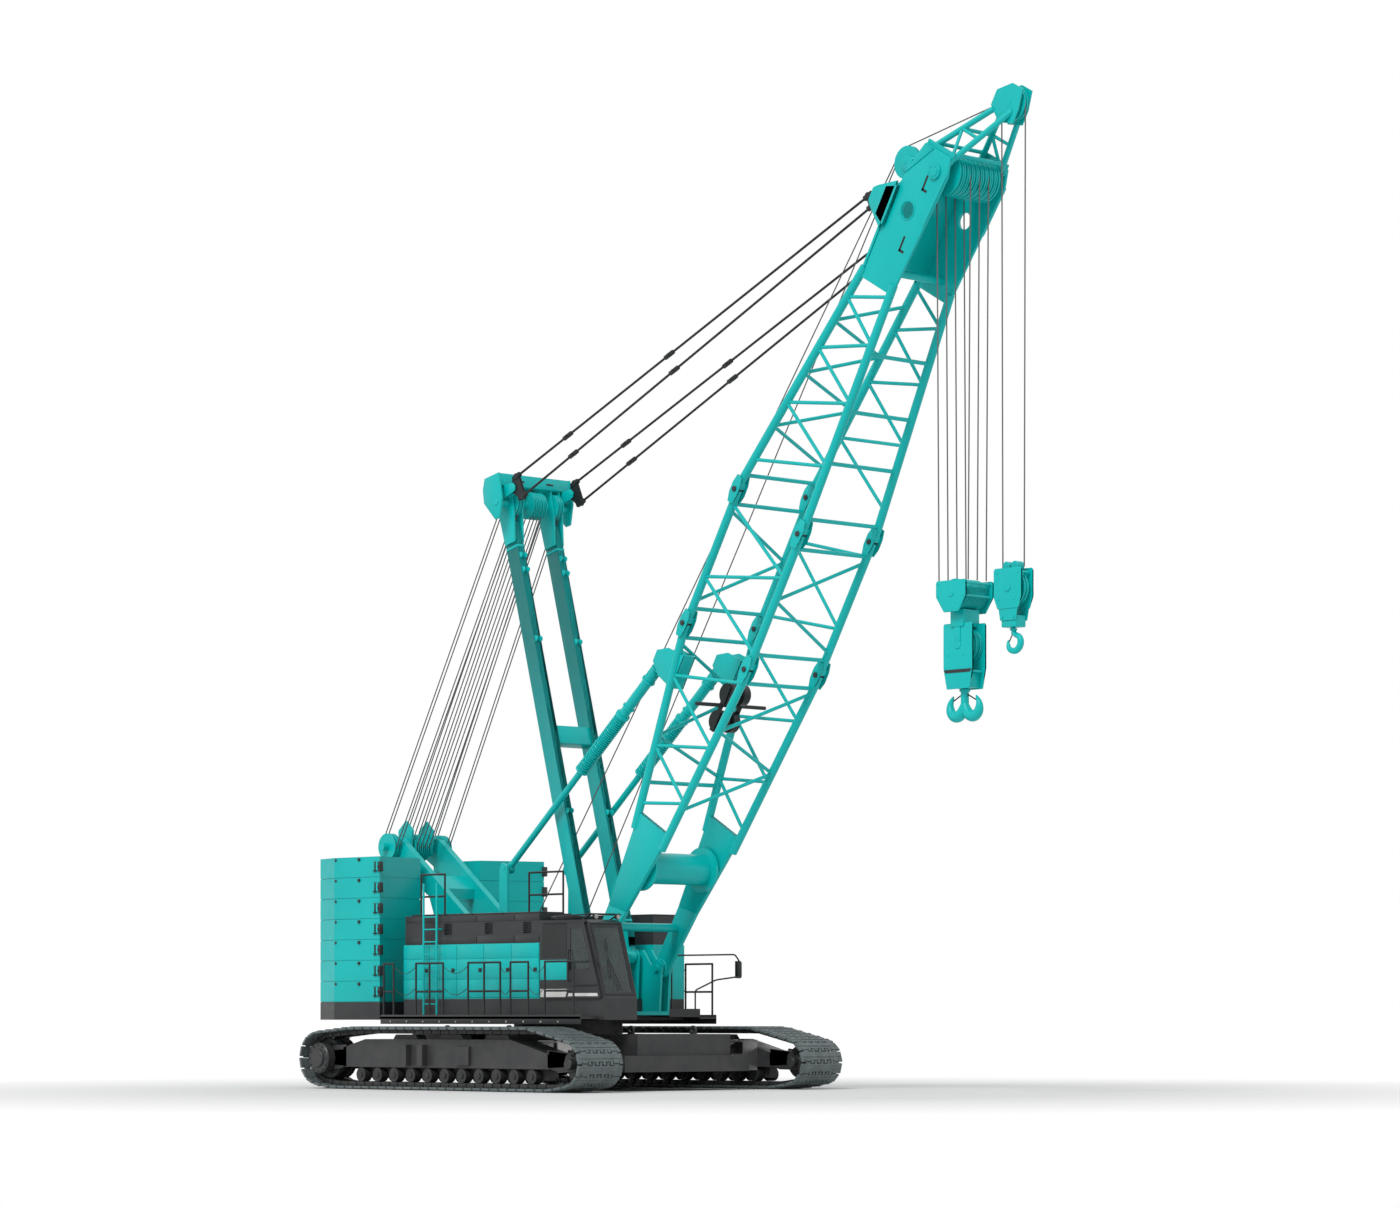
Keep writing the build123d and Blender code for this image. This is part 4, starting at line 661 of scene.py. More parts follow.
horns = []
for side in (-1, 1):
    row = [(0, 0, -0.3), (side * 0.05, 0, -0.46), (side * 0.22, 0, -0.56), (side * 0.37, 0, -0.47),
           (side * 0.4, 0, -0.3), (side * 0.33, 0, -0.17), (side * 0.3, 0, -0.13)]
    horns.append(tapered("horn", row, (0.085, 0.115, 0.115, 0.1, 0.07, 0.035, 0.012)))
horns += [drum("shank", (0, 0, 0.02), (0, 0, -0.42), 0.082, 24, 0.01),
          drum("collar", (0, 0, 0.0), (0, 0, -0.05), 0.11, 24, 0.012)]
HOOK = MAIN @ Matrix.Translation((0, 0, -MAIN_DEPTH))
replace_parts(dress("ramshorn_hook", horns, TEAL, "main_hook", HOOK), "main_hook")
clips = [pipe("hook_latch", [(side * 0.07, 0, -0.1), (side * 0.3, 0, -0.22)], 0.014) for side in (-1, 1)]
dress("main_hook_latches", clips, DARK_STEEL, "main_hook", HOOK)

AUX_CHEEK = mirrored([(0.33, -0.01), (0.36, -0.05), (0.36, -0.58), (0.27, -0.8)])
AUX_SKIRT = mirrored([(0.25, -0.78), (0.2, -1.03)])
body = []
for y in (-0.18, 0.15):
    body.append(plate("aux_cheek", AUX_CHEEK, y, y + 0.03, 0.006))
    body.append(plate("aux_skirt", AUX_SKIRT, y + 0.01, y + 0.03, 0.004))
body += [sheave("aux_sheave", 0, -0.4, 0.35, -0.06, 0.06),
         shaft("aux_pin", 0, -0.4, -0.205, 0.205, 0.075, 24, 0.012),
         block("aux_crosshead", (-0.19, -0.15, -1.16), (0.19, 0.15, -0.93), 0.02)]
for x in (-0.11, 0.11):
    body.append(shaft("top_ear", x, 0.03, -0.1, 0.1, 0.095, 20, 0.012))
for x, z in ((-0.24, -0.62), (0.16, -0.62), (-0.28, -0.1), (0.28, -0.1), (-0.15, -0.97), (0.15, -0.97)):
    body.append(shaft("aux_spacer", x, z, -0.19, 0.19, 0.026, 12, 0.004))
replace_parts(dress("aux_hook_block", body, TEAL, "aux_block", AUX), "aux_block")
HOOK = AUX @ Matrix.Translation((0, 0, -AUX_DEPTH))
single = [tapered("aux_bowl", [(0, 0, -0.03), (0.02, 0, -0.12), (0.17, 0, -0.16), (0.2, 0, -0.32),
                               (0.08, 0, -0.45), (-0.1, 0, -0.42), (-0.15, 0, -0.3), (-0.13, 0, -0.22)],
                  (0.045, 0.05, 0.06, 0.068, 0.066, 0.055, 0.04, 0.015)),
          drum("aux_shank", (0, 0, 0.02), (0, 0, -0.12), 0.046, 20),
          drum("aux_collar", (0, 0, 0.0), (0, 0, -0.04), 0.075, 20, 0.01)]
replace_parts(dress("single_hook", single, TEAL, "aux_hook", HOOK), "aux_hook")
clip = pipe("aux_hook_latch", [(-0.02, 0, -0.1), (-0.11, 0, -0.25)], 0.012)
seat(paint(clip, DARK_STEEL), "aux_hook", HOOK)

# ---------- backstops
slide = Vector(JOINTS["backstop_slide"]["axis"])
BACKSTOP = (Matrix.Translation(joint_place("backstop_pivot")) @ Matrix.Rotation(-math.atan2(slide.z, slide.x), 4, "Y"))
WAY = 6.532                             # from the foot pin to the tube's eye
BACKSTOP_Y = 0.86
tubes = []


def bored(name, x0, x1, y, radius, edge):
    """A round sleeve or collar with the bar's bore through it."""
    return pierce(drum(name, (x0, y, 0), (x1, y, 0), radius, 28, edge),
                  drum("bore", (x0 - 0.02, y, 0), (x1 + 0.02, y, 0), 0.076, 36, 0))


for y in (-BACKSTOP_Y, BACKSTOP_Y):
    tubes.append(bored("sleeve", WAY - 3.4, WAY - 0.36, y, 0.112, 0.01))
    for x, radius, width in ((3.1, 0.15, 0.05), (4.78, 0.158, 0.07), (5.05, 0.14, 0.03), (5.85, 0.15, 0.05),
                             (6.2, 0.135, 0.04)):
        tubes.append(bored("collar", x, x + width, y, radius, 0.008))
    for i in range(5):
        tubes.append(bored("bellow", 5.93 + i * 0.05, 5.955 + i * 0.05, y, 0.128, 0.008))
    turns, pitch, reach = 29, 0.0565, 0.134
    coil = [(3.14 + i * pitch / 10, y + reach * math.sin(0.2 * math.pi * i), reach * math.cos(0.2 * math.pi * i))
            for i in range(turns * 10)]
    tubes.append(pipe("spring", coil, 0.0165, 0, 1))
    tubes.append(block("fork", (WAY - 0.34, y - 0.055, -0.085), (WAY - 0.05, y + 0.055, 0.085), 0.02))
    tubes.append(shaft("eye", WAY, 0, y - 0.045, y + 0.045, 0.11, 28, 0.008))
sleeves = dress("backstop_sleeves_and_springs", tubes, TEAL, "backstop_tubes", BACKSTOP)
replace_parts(sleeves, "backstop_tubes")

# ---------- crawler belts
REAR_WHEEL, FRONT_WHEEL = (-4.0, 0.656, 0.6), (4.12, 0.584, 0.51)   # x, z, radius over the shoes
SHOES, SHOE_DEPTH = 70, 0.16
TRACK_Y = 3.2                           # middle of each belt


def belt_line():
    """A taut line round both wheels, the run on the ground and the flat upper run."""
    spots = [(-3.6, 0.0), (3.6, 0.0), (-2.9, 1.35), (2.95, 1.35)]
    for x, z, radius in (REAR_WHEEL, FRONT_WHEEL):
        spots += ring(x, z, radius, 120)
    spots.sort()
    line = []
    for row in (spots, spots[::-1]):
        start = len(line)
        for x, z in row:
            while len(line) >= start + 2:
                (xa, za), (xb, zb) = line[-2:]
                if (xb - xa) * (z - za) - (zb - za) * (x - xa) > 1e-9:
                    break
                line.pop()
            line.append((x, z))
        line.pop()
    return [Vector((x, 0, z)) for x, z in line]


BELT = belt_line()
BELT_LENGTH = sum((b - a).length for a, b in zip(BELT, BELT[1:] + BELT[:1]))


def on_belt(way):
    """The place on the belt at a way along it."""
    way %= BELT_LENGTH
    for a, b in zip(BELT, BELT[1:] + BELT[:1]):
        step = (b - a).length
        if way <= step:
            return a.lerp(b, way / step)
        way -= step
    return BELT[0]


def shoe():
    """One track shoe: its plate, stepped ends, the fingers that mesh with its neighbours and a low rib."""
    parts = [block("shoe_plate", (-0.088, -0.605, -0.06), (0.088, 0.605, -0.016), 0.006),
             block("shoe_rib", (-0.026, -0.58, -0.018), (0.026, 0.58, 0.0), 0.006)]
    for side in (-1, 1):
        parts += [side_block("shoe_end", side, (-0.124, 0.124), (0.36, 0.5), (-0.058, -0.012), 0.005),
                  side_block("shoe_tip", side, (-0.132, 0.078), (0.52, 0.61), (-0.066, -0.02), 0.005)]
    for i in range(7):
        y, way = -0.3 + 0.1 * i, 1 if i % 2 else -1
        x0, x1 = span(way, 0.08, 0.158)
        parts.append(block("shoe_finger", (x0, y - 0.03, -0.055), (x1, y + 0.03, -0.02), 0))
    return join("shoe", parts)


def inner_lugs():
    """The pair of lugs on a shoe's inner side that the wheels drive and the rollers run between."""
    return join("link", [block("lug", (-0.125, y0, -SHOE_DEPTH + 0.004), (0.125, y1, -0.056), 0.008)
                         for y0, y1 in ((-0.3, -0.14), (0.14, 0.3))])


PITCH = BELT_LENGTH / SHOES
FIRST_SHOE, FIRST_LUGS = shoe(), inner_lugs()
for side, name in ((-1, "right"), (1, "left")):
    shoes, links = [], []
    for i in range(SHOES):
        a, b = on_belt(i * PITCH), on_belt((i + 1) * PITCH)
        ahead = (b - a).normalized()
        out = Vector((ahead.z, 0, -ahead.x))
        across = out.cross(ahead)
        spot = (a + b) / 2 + Vector((0, side * TRACK_Y, 0))
        turn = Matrix((ahead, across, out)).transposed().to_4x4()
        place = Matrix.Translation(spot) @ turn
        shoes.append(copy_of(FIRST_SHOE, place))
        links.append(copy_of(FIRST_LUGS, place))
    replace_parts(dress("shoes_" + name, shoes, SHOE_STEEL, "lower"), "track_" + name)
    dress("links_" + name, links, DARK_STEEL, "lower")
for piece in (FIRST_SHOE, FIRST_LUGS):
    bpy.data.objects.remove(piece)

drives, idlers, forks = [], [], []
for side in (-1, 1):
    mid = side * TRACK_Y
    for (x, z, radius), group in ((REAR_WHEEL, drives), (FRONT_WHEEL, idlers)):
        tread = radius - SHOE_DEPTH
        for y in (mid - 0.225, mid + 0.1):
            group.append(shaft("wheel_rim", x, z, y, y + 0.125, tread, 40, 0.012))
        group.append(shaft("wheel_web", x, z, mid - 0.16, mid + 0.16, tread - 0.09, 40, 0.01))
        group.append(shaft("wheel_shaft", x, z, mid - 0.5, mid + 0.5, 0.115, 24, 0.012))
        for cx, cz in ring(x, z, tread - 0.165, 8):
            group.append(shaft("wheel_boss", cx, cz, mid - 0.175, mid + 0.175, 0.045, 12))
    x, z, radius = REAR_WHEEL
    face = mid + side * 0.54
    ys = sorted((mid + side * 0.3, face))
    drives.append(shaft("drive_cover", x, z, ys[0], ys[1], 0.34, 40, 0.03))
    drives.append(shaft("drive_cap", x, z, face, face + side * 0.035, 0.2, 32, 0.012))
    for cx, cz in ring(x, z, 0.28, 12):
        drives.append(shaft("cover_bolt", cx, cz, face, face + side * 0.02, 0.018, 8, 0))
    for y in (mid - 0.31, mid + 0.25):
        x, z, radius = FRONT_WHEEL
        forks.append(plate("idler_fork", [(3.3, 0.5), (3.3, 0.98), (x - 0.12, z + 0.22), (x + 0.1, z + 0.2),
                                          (x + 0.2, z), (x + 0.12, z - 0.17), (3.6, 0.42)], y, y + 0.06, 0.012))
        forks.append(shaft("fork_cap", x, z, y - 0.03, y + 0.09, 0.15, 28, 0.012))
        x, z, radius = REAR_WHEEL
        forks.append(plate("drive_fork", [(-3.3, 0.48), (-3.3, 1.0), (x + 0.1, z + 0.26), (x - 0.14, z + 0.24),
                                          (x - 0.24, z), (x - 0.12, z - 0.22), (-3.6, 0.42)], y, y + 0.06, 0.012))
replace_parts(dress("drive_wheels", drives, CHARCOAL, "lower"), "drive_tumblers")
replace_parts(dress("idler_wheels", idlers, CHARCOAL, "lower"), "idlers")
dress("wheel_forks", forks, CHARCOAL, "lower")

# ---------- boom lattice
# Along the boom from its foot pin: half width, back and front of the four chords' axes
HALF_WIDTH, HALF_DEPTH, CHORD = 1.03, 1.06, 0.088
CHORD_LINE = [(3.57, HALF_WIDTH, 0.37, -0.69), (7.42, HALF_WIDTH, HALF_DEPTH, -HALF_DEPTH),
              (10.87, HALF_WIDTH, HALF_DEPTH, -HALF_DEPTH), (15.95, 0.82, 0.23, -0.7)]
BASE_END, INSERT_END = 7.62, 10.67      # joints between the sections
NEAR_BACK, NEAR_FRONT, FAR_BACK, FAR_FRONT = (-1, 1), (-1, 2), (1, 1), (1, 2)


def chord(s, side, face):
    """A place on a chord's axis at the way s along the boom."""
    for (s0, *row0), (s1, *row1) in zip(CHORD_LINE, CHORD_LINE[1:]):
        if s <= s1 or s1 == CHORD_LINE[-1][0]:
            row = [p + (q - p) * (s - s0) / (s1 - s0) for p, q in zip(row0, row1)]
            return (s, side * row[0], row[face])


# Zigzags: section, pairs of chords they run between, ways of the nodes
LACES = [
    ("base", ((NEAR_FRONT, NEAR_BACK), (FAR_BACK, FAR_FRONT)), (7.3, 6.5, 5.73, 4.99, 4.36, 3.75)),
    ("base", ((NEAR_BACK, FAR_BACK),), (7.18, 6.13, 5.2, 4.38)),
    ("base", ((FAR_FRONT, NEAR_FRONT),), (7.18, 6.13, 5.2, 4.18)),
    ("insert", ((NEAR_BACK, NEAR_FRONT), (FAR_FRONT, FAR_BACK)), (10.34, 9.69, 8.69, 7.96)),
    ("insert", ((NEAR_BACK, FAR_BACK), (FAR_FRONT, NEAR_FRONT)), (10.2, 9.18, 8.13)),
    ("top", ((NEAR_FRONT, NEAR_BACK), (FAR_BACK, FAR_FRONT)),
     (15.7, 15.25, 14.7, 14.06, 13.47, 12.76, 12.13, 11.38)),
    ("top", ((FAR_BACK, NEAR_BACK),), (15.25, 14.7, 14.06, 13.46, 12.76, 12.19, 11.38)),
]
# Straight struts: section, face, ways
BACK, FRONT = (NEAR_BACK, FAR_BACK), (NEAR_FRONT, FAR_FRONT)
STRUTS = [("base", BACK, (7.3, 4.2)), ("base", FRONT, (7.3,)), ("insert", BACK, (7.96, 10.34)),
          ("insert", FRONT, (10.34, 7.96)), ("top", FRONT, (14.5, 13.3, 12.2, 11.0)), ("top", BACK, (11.0,))]
RUNS = {"base": (3.2, 7.42, 7.5), "insert": (7.74, 10.55), "top": (10.79, 10.87, 15.95)}
sections = {}
for name, ways in RUNS.items():
    tubes = [pipe("chord", [chord(s, *place) for s in ways], CHORD, 0, 6)
             for place in (NEAR_BACK, NEAR_FRONT, FAR_BACK, FAR_FRONT)]
    tubes += [pipe("lace", [chord(a, *pair[i % 2]), chord(b, *pair[(i + 1) % 2])], 0.038, 0, 3)
              for where, pairs, row in LACES if where == name for pair in pairs
              for i, (a, b) in enumerate(zip(row, row[1:]))]
    tubes += [pipe("strut", [chord(s, *place) for place in face], 0.044, 0, 3)
              for where, face, row in STRUTS if where == name for s in row]
    sections[name] = tubes
SECTION_JOINTS = [(s, y, z) for s in (BASE_END, INSERT_END) for y in (-HALF_WIDTH, HALF_WIDTH)
                  for z in (-HALF_DEPTH, HALF_DEPTH)]
for s, y, z in SECTION_JOINTS:
    for name, way in zip(("base", "insert") if s == BASE_END else ("insert", "top"), (-1, 1)):
        half = 0.045 if way < 0 else 0.095
        x0, x1 = sorted((s + way * 0.02, s + way * 0.16))
        sections[name].append(block("chord_end", (x0, y - half, z - 0.085), (x1, y + half, z + 0.085), 0.015))

base, top = sections["base"], sections["top"]
HOLE_X, HOLE_Z = 17.38, -0.33           # round hole in each plate of the head
HEAD_X, HEAD_Z = 18.31, -0.65           # shaft of the hoist sheaves in the head
BACKSTOP_LUG = mirrored([(6.99, 0.8), (6.93, 1.3), (6.74, 1.58)], 6.61)
PENDANT_ARM = mirrored([(17.8, 0.15), (17.52, 0.6), (17.44, 0.69)], 17.3)
# Plates on both sides: section, name, nearer and farther face, edge, outline
BOOM_PLATES = [
    (base, "foot_plate", 0.96, 1.07, 0.012, [(-0.06, 0.19), (1.425, 0.18), (1.557, -0.36), (-0.06, -0.19)]),
    (base, "foot_plate", 0.96, 1.07, 0.012, [(1.42, 0.18), (3.57, 0.335), (3.57, -0.7), (1.55, -0.36)]),
    (base, "backstop_lug", 0.68, 0.71, 0.006, BACKSTOP_LUG),
    (base, "backstop_lug", 1.01, 1.04, 0.006, BACKSTOP_LUG),
    (top, "pendant_arm", 0.744, 0.794, 0.01, PENDANT_ARM),
    (top, "pendant_arm", 0.894, 0.944, 0.01, PENDANT_ARM),
    (top, "arm_pad", 0.744, 0.944, 0.01, mirrored([(17.72, 0.1), (17.6, 0.37)], 17.3)),
    (top, "jib_gusset", 0.845, 0.868, 0.006, [(18.0, 0.1), (18.45, -0.03), (18.7, -0.12), (18.7, -0.4)]),
    (top, "back_flange", 0.7, 0.86, 0.004, [(15.8, 0.235), (17.42, 0.235), (17.42, 0.262), (15.8, 0.262)]),
]
for side in (-1, 1):
    for section, name, a, b, edge, outline in BOOM_PLATES:
        section.append(plate(name, outline, *span(side, a, b), edge))
    base += [shaft("foot_boss", 0, 0, side * 0.945, side * 1.085, 0.2, 36, 0.012),
             side_block("backstop_seat", side, (6.23, 6.99), (0.68, 1.03), (0.8, 0.86), 0.008)]
    cheek = plate("head_plate", [(15.75, 0.25), (17.42, 0.25), (18.72, -0.12), (18.7, -0.88), (18.33, -1.0),
                                 (17.25, -0.9), (15.75, -0.76)], *span(side, 0.79, 0.85), 0.01)
    top.append(pierce(cheek, shaft("hole", HOLE_X, HOLE_Z, side * 0.7, side * 0.95, 0.17, 36, 0)))
base.append(shaft("cross_tube", 1.0, 0, -0.98, 0.98, 0.09, 28))
top += [block("back_sheet", (15.9, -0.84, 0.06), (18.3, 0.84, 0.11), 0.008),
        shaft("cross_tube", 16.1, -0.35, -0.83, 0.83, 0.08),
        shaft("head_shaft", HEAD_X, HEAD_Z, -0.88, 0.88, 0.09),
        shaft("guide_pin", GUIDE_X, GUIDE_Z, -0.115, 0.115, 0.05, 20)]
GUIDE_CHEEK = mirrored([(18.28, 0.1), (18.13, 0.95), (18.06, 1.05)], GUIDE_X)
top += [plate("guide_cheek", GUIDE_CHEEK, y, y + 0.04) for y in (-0.11, 0.07)]
for name, tubes in sections.items():
    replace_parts(dress("lattice_" + name, tubes, TEAL, "boom"), "boom_" + name)

# ---------- pendants and mirror arm
PENDANT_Y = 0.844
pin, far = joint_place("pendant_pivot"), BOOM @ Vector((17.3, 0, 0.6))
reach = math.hypot(far.x - pin.x, far.z - pin.z)
PENDANT_TILT = math.atan2(far.z - pin.z, far.x - pin.x)
PENDANT = Matrix.Translation((pin.x, 0, pin.z)) @ Matrix.Rotation(-PENDANT_TILT, 4, "Y")
bars = []
for y in (-PENDANT_Y, PENDANT_Y):
    for near, end in ((0.185, 0.125), (-0.3, -0.115)):
        bars.append(pipe("pendant_bar", [(0.16, y, near), (reach - 0.2, y, end)], 0.026))
        for share in (0.165, 0.455):
            x, z = reach * share, near + (end - near) * share
            bars.append(block("pendant_joint", (x - 0.15, y - 0.042, z - 0.042), (x + 0.15, y + 0.042, z + 0.042),
                              0.02))
            bars.append(shaft("joint_pin", x, z, y - 0.065, y + 0.065, 0.026, 16, 0.004))
        for x, z in ((0.16, near), (reach - 0.2, end)):
            bars.append(block("pendant_eye", (x - 0.13, y - 0.045, z - 0.05), (x + 0.13, y + 0.045, z + 0.05), 0.02))
            bars.append(shaft("eye_pin", x, z, y - 0.047, y + 0.047, 0.07, 20))
    bars.append(plate("yoke", [(-0.09, -0.06), (0.08, -0.35), (0.24, -0.35), (0.24, 0.24), (0.08, 0.24),
                               (-0.09, 0.06)], y - 0.03, y + 0.03))
    bars.append(plate("far_yoke", [(reach - 0.25, -0.17), (reach - 0.13, -0.17), (reach + 0.04, -0.07),
                                   (reach + 0.04, 0.07), (reach - 0.13, 0.18), (reach - 0.25, 0.18)],
                      y - 0.03, y + 0.03))
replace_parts(dress("pendant_bars", bars, BLACK, "pendants", PENDANT), "pendants")

arm = [pipe("mirror_frame", [(1.9, 1.3, 1.7), (1.9, 1.3, 2.88), (1.9, 3.2, 2.92), (1.9, 3.36, 2.74),
                             (1.9, 3.34, 2.44), (1.9, 2.62, 2.36), (1.9, 2.0, 2.13), (1.9, 2.0, 1.66)], 0.018, 0.06),
       block("mirror_back", (1.87, 3.26, 2.42), (1.92, 3.4, 2.76), 0.02),
       block("mirror_rim", (1.85, 3.24, 2.4), (1.875, 3.42, 2.78), 0.012)]
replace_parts(dress("mirror_frame_and_mirror", arm, BLACK, "upper"), "mirror_arm")

# ---------- mast
TIP = MAST_LENGTH
PIN_X, PIN_Z = 0.603, TIP + 0.562       # the pendants' pin
HEAD_BEAM = [(-0.21, TIP + 0.72), (-0.08, TIP + 0.99), (0.39, TIP + 0.97), (0.37, TIP + 0.7)]
MAST_LEG = [(-0.11, 0.0), (0.11, 0.0), (0.18, 0.4), (0.18, TIP - 0.05), (-0.18, TIP - 0.05), (-0.18, 0.4)]
HEAD_SIDE = [(-0.24, TIP + 0.48), (-0.2, TIP + 0.78), (-0.08, TIP + 1.0), (0.4, TIP + 0.975), (0.37, TIP + 0.43),
             (0.17, TIP + 0.01), (0.02, TIP + 0.02)]
HEAD_NECK = [(-0.165, TIP - 0.5), (0.165, TIP - 0.5), (0.33, TIP + 0.25), (0.34, TIP + 0.76), (-0.19, TIP + 0.76),
             (-0.19, TIP + 0.2)]
PENDANT_LUG = [(0.25, TIP + 0.72), (PIN_X + 0.03, PIN_Z + 0.1), (PIN_X + 0.09, PIN_Z), (PIN_X + 0.05, PIN_Z - 0.09),
               (0.32, PIN_Z - 0.13)]
# Plates on both sides: name, nearer and farther face, edge, outline
MAST_PLATES = [("mast_leg", 0.48, 0.68, 0.012, MAST_LEG), ("head_side", 1.0, 1.05, 0.01, HEAD_SIDE),
               ("head_neck", 0.44, 0.48, 0.008, HEAD_NECK), ("head_neck", 0.68, 0.72, 0.008, HEAD_NECK),
               ("pendant_lug", 0.774, 0.804, 0.006, PENDANT_LUG), ("pendant_lug", 0.884, 0.914, 0.006, PENDANT_LUG)]
MAST_PLATES += [("leg_lug", a, b, 0.004, [(0.17, z - 0.07), (0.24, z - 0.05), (0.27, z), (0.24, z + 0.05),
                                          (0.17, z + 0.07)])
                for z in (TIP - 1.15, TIP - 0.82, 7.1, 3.2) for a, b in ((0.5, 0.53), (0.63, 0.66))]
parts = [block("mast_tie", (-0.15, -0.56, 4.75), (0.15, 0.56, 5.15), 0.012),
         plate("head_beam", HEAD_BEAM, -1.02, 1.02, 0.012),
         shaft("sheave_shaft", SHEAVE_X, SHEAVE_Z, -1.07, 1.07, 0.08, 28, 0.01)]
for side in (-1, 1):
    for name, a, b, edge, outline in MAST_PLATES:
        parts.append(plate(name, outline, *span(side, a, b), edge))
    parts.append(shaft("mast_foot", 0, 0, side * 0.48, side * 0.68, 0.15, 32, 0.012))
    parts.append(shaft("pendant_pin", PIN_X, PIN_Z, side * 0.765, side * 0.923, 0.04, 20))
    for z in (TIP - 0.62, 0.75):
        parts.append(side_block("leg_band", side, (-0.188, 0.188), (0.472, 0.688), (z, z + 0.05), 0.006))
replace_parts(dress("mast_frame", parts, TEAL, "mast"), "mast")
bank = [sheave("hoist_sheave", SHEAVE_X, SHEAVE_Z, 0.3, y - 0.04, y + 0.04)
        for y in (-0.15, -0.05, 0.05, 0.15, -0.625, -0.535, 0.535, 0.625)]
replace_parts(dress("hoist_sheaves", bank, TEAL_CAST, "mast"), "mast_sheaves")
# thin black strips on the head beam's face: painted shadow where its slots are, with no slot cut
painted_beam_slot_shadows = [block("beam_slot", (0.374, y - 0.1, TIP + 0.8), (0.384, y + 0.1, TIP + 0.84), 0.002) for y in (-0.42, 0.42)]
dress("beam_slot_painted_shadows", painted_beam_slot_shadows, BLACK, "mast")

# ---------- boom trim
EAR = [(-0.3, -0.07), (-0.12, -0.12), (0.12, -0.12), (0.3, -0.07), (0.3, 0.07), (0.12, 0.12), (-0.12, 0.12),
       (-0.3, 0.07)]
chord_pins, plates = [], []
for s, y, z in SECTION_JOINTS:
    chord_pins.append(shaft("joint_pin", s, z, y - 0.15, y + 0.15, 0.055, 20))
    ear = [(s + x, z + height) for x, height in EAR]
    plates += [plate("joint_ear", ear, y + off, y + off + 0.02, 0.004) for off in (-0.118, 0.098)]
dress("chord_joint_pins", chord_pins, DARK_STEEL, "boom")
dress("chord_joint_ears", plates, TEAL, "boom")

# head: folded edges, shaft caps, the rims of its holes, and black plates that paint the shadow inside its slots
head = []
for side in (-1, 1):
    ys = span(side, 0.852, 0.872)
    head.append(plate("back_fold", [(15.95, 0.19), (17.45, 0.19), (17.45, 0.245), (15.95, 0.245)], *ys, 0.004))
    head.append(plate("front_fold", [(17.3, -0.9), (18.35, -0.99), (18.35, -0.93), (17.3, -0.84)], *ys, 0.004))
    head.append(shaft("shaft_cap", HEAD_X, HEAD_Z, side * 0.85, side * 0.9, 0.15, 28, 0.012))
    head.append(shaft("shaft_cap", HEAD_X, HEAD_Z, side * 0.89, side * 0.915, 0.09, 24, 0.008))
    for x, z in ring(HEAD_X, HEAD_Z, 0.12, 6):
        head.append(shaft("cap_bolt", x, z, side * 0.895, side * 0.915, 0.013, 8, 0))
    rim = [(x, side * 0.856, z) for x, z in ring(HOLE_X, HOLE_Z, 0.185, 24)]
    head.append(pipe("hole_rim", rim + rim[:1], 0.014, 0, 2))
dress("boom_head_trim", head, TEAL, "boom")
# thin black plates on the head plates: painted shadow where the slots are, with no hole cut
painted_slot_shadows = []
for side in (-1, 1):
    for x, z in ((18.02, -0.5), (16.75, -0.52)):
        for x0, x1, z0, z1 in ((x - 0.16, x + 0.16, z - 0.025, z + 0.025), (x - 0.16, x - 0.11, z - 0.13, z + 0.02)):
            painted_slot_shadows.append(plate("slot", [(x0, z0), (x1, z0), (x1, z1), (x0, z1)], *span(side, 0.85, 0.853), 0.001))
dress("head_slot_painted_shadows", painted_slot_shadows, BLACK, "boom")

# ---------- camera, light and floor
camera = bring("camera", bpy.data.cameras.new("camera"))
camera.location = (63.9825, -60.3902, 1.533)
camera.rotation_euler = (math.radians(90), 0, math.radians(46.5031))
camera.data.sensor_width, camera.data.lens = 36, 107.45
camera.data.shift_y, camera.data.clip_end = 0.2956, 500
bpy.context.scene.camera = camera

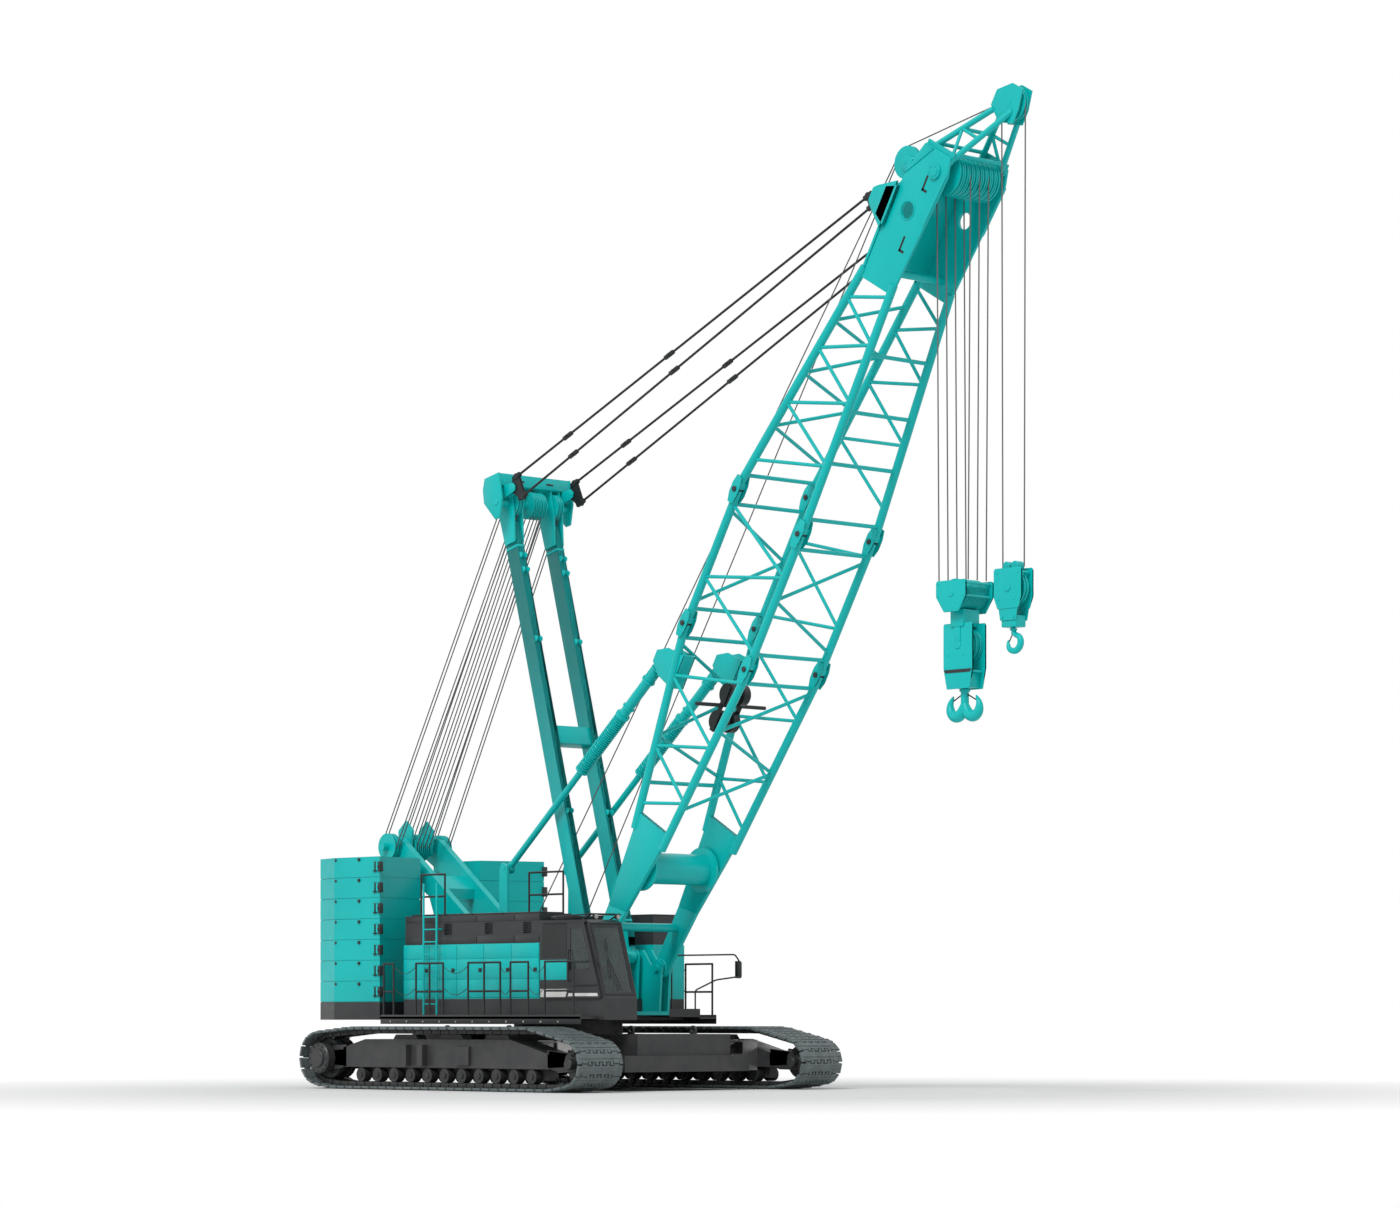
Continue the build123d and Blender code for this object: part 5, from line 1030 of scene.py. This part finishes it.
world = bpy.data.worlds.new("studio")
bpy.context.scene.world = world
world.use_nodes = True
tree = world.node_tree
tree.nodes.clear()
seen, soft = (add(tree, "Background") for _ in range(2))
dial(seen, Color=(1, 1, 1, 1), Strength=1.0)
dial(soft, Color=(1, 1, 1, 1), Strength=0.55)
path = add(tree, "LightPath")
camera_or_gloss, or_glass = (add(tree, "Math") for _ in range(2))
camera_or_gloss.operation = or_glass.operation = "MAXIMUM"
wire(tree, path, "Is Camera Ray", camera_or_gloss, 0)
wire(tree, path, "Is Glossy Ray", camera_or_gloss, 1)
wire(tree, camera_or_gloss, "Value", or_glass, 0)
wire(tree, path, "Is Transmission Ray", or_glass, 1)
choice = add(tree, "MixShader")
wire(tree, or_glass, "Value", choice, "Fac")
wire(tree, soft, "Background", choice, 1)
wire(tree, seen, "Background", choice, 2)
output = add(tree, "OutputWorld")
wire(tree, choice, "Shader", output, "Surface")

sun = bring("soft_sun", bpy.data.lights.new("soft_sun", "SUN"))
sun.data.energy, sun.data.angle = 1.55, math.radians(25)
sun.rotation_euler = (math.radians(46), 0, math.radians(18))

deselect()
bpy.ops.mesh.primitive_plane_add(size=400, location=(0, 0, -0.004))
floor = take("floor")
ground, tree, shader = new_finish("pale_floor")
dial(shader, Roughness=0.9, Specular_IOR_Level=0.0)
tone = blend_colours(tree, spread(tree, noise(tree, 0.4, 2), 0.3, 0.7, 0, 1), (0.8, 0.8, 0.8), (0.82, 0.82, 0.82))
link(tree, tone, shader.inputs["Base Color"])
reach = add(tree, "VectorMath")
reach.operation = "LENGTH"
link(tree, own_place(tree), reach.inputs[0])
far = spread(tree, reach.outputs["Value"], 9.0, 22.0, 0.0, 1.0)
path = add(tree, "LightPath")
visible = add(tree, "Math")
visible.operation = "MULTIPLY"
wire(tree, path, "Is Camera Ray", visible, 0)
link(tree, far, visible.inputs[1])
glow = add(tree, "Emission")
dial(glow, Strength=1.0)
choice = add(tree, "MixShader")
wire(tree, visible, "Value", choice, "Fac")
wire(tree, shader, "BSDF", choice, 1)
wire(tree, glow, "Emission", choice, 2)
link(tree, choice.outputs["Shader"], tree.nodes["Material Output"].inputs["Surface"])
floor.data.materials.append(ground)
floor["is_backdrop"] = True

bpy.context.scene.view_settings.view_transform = "Standard"

low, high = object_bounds()
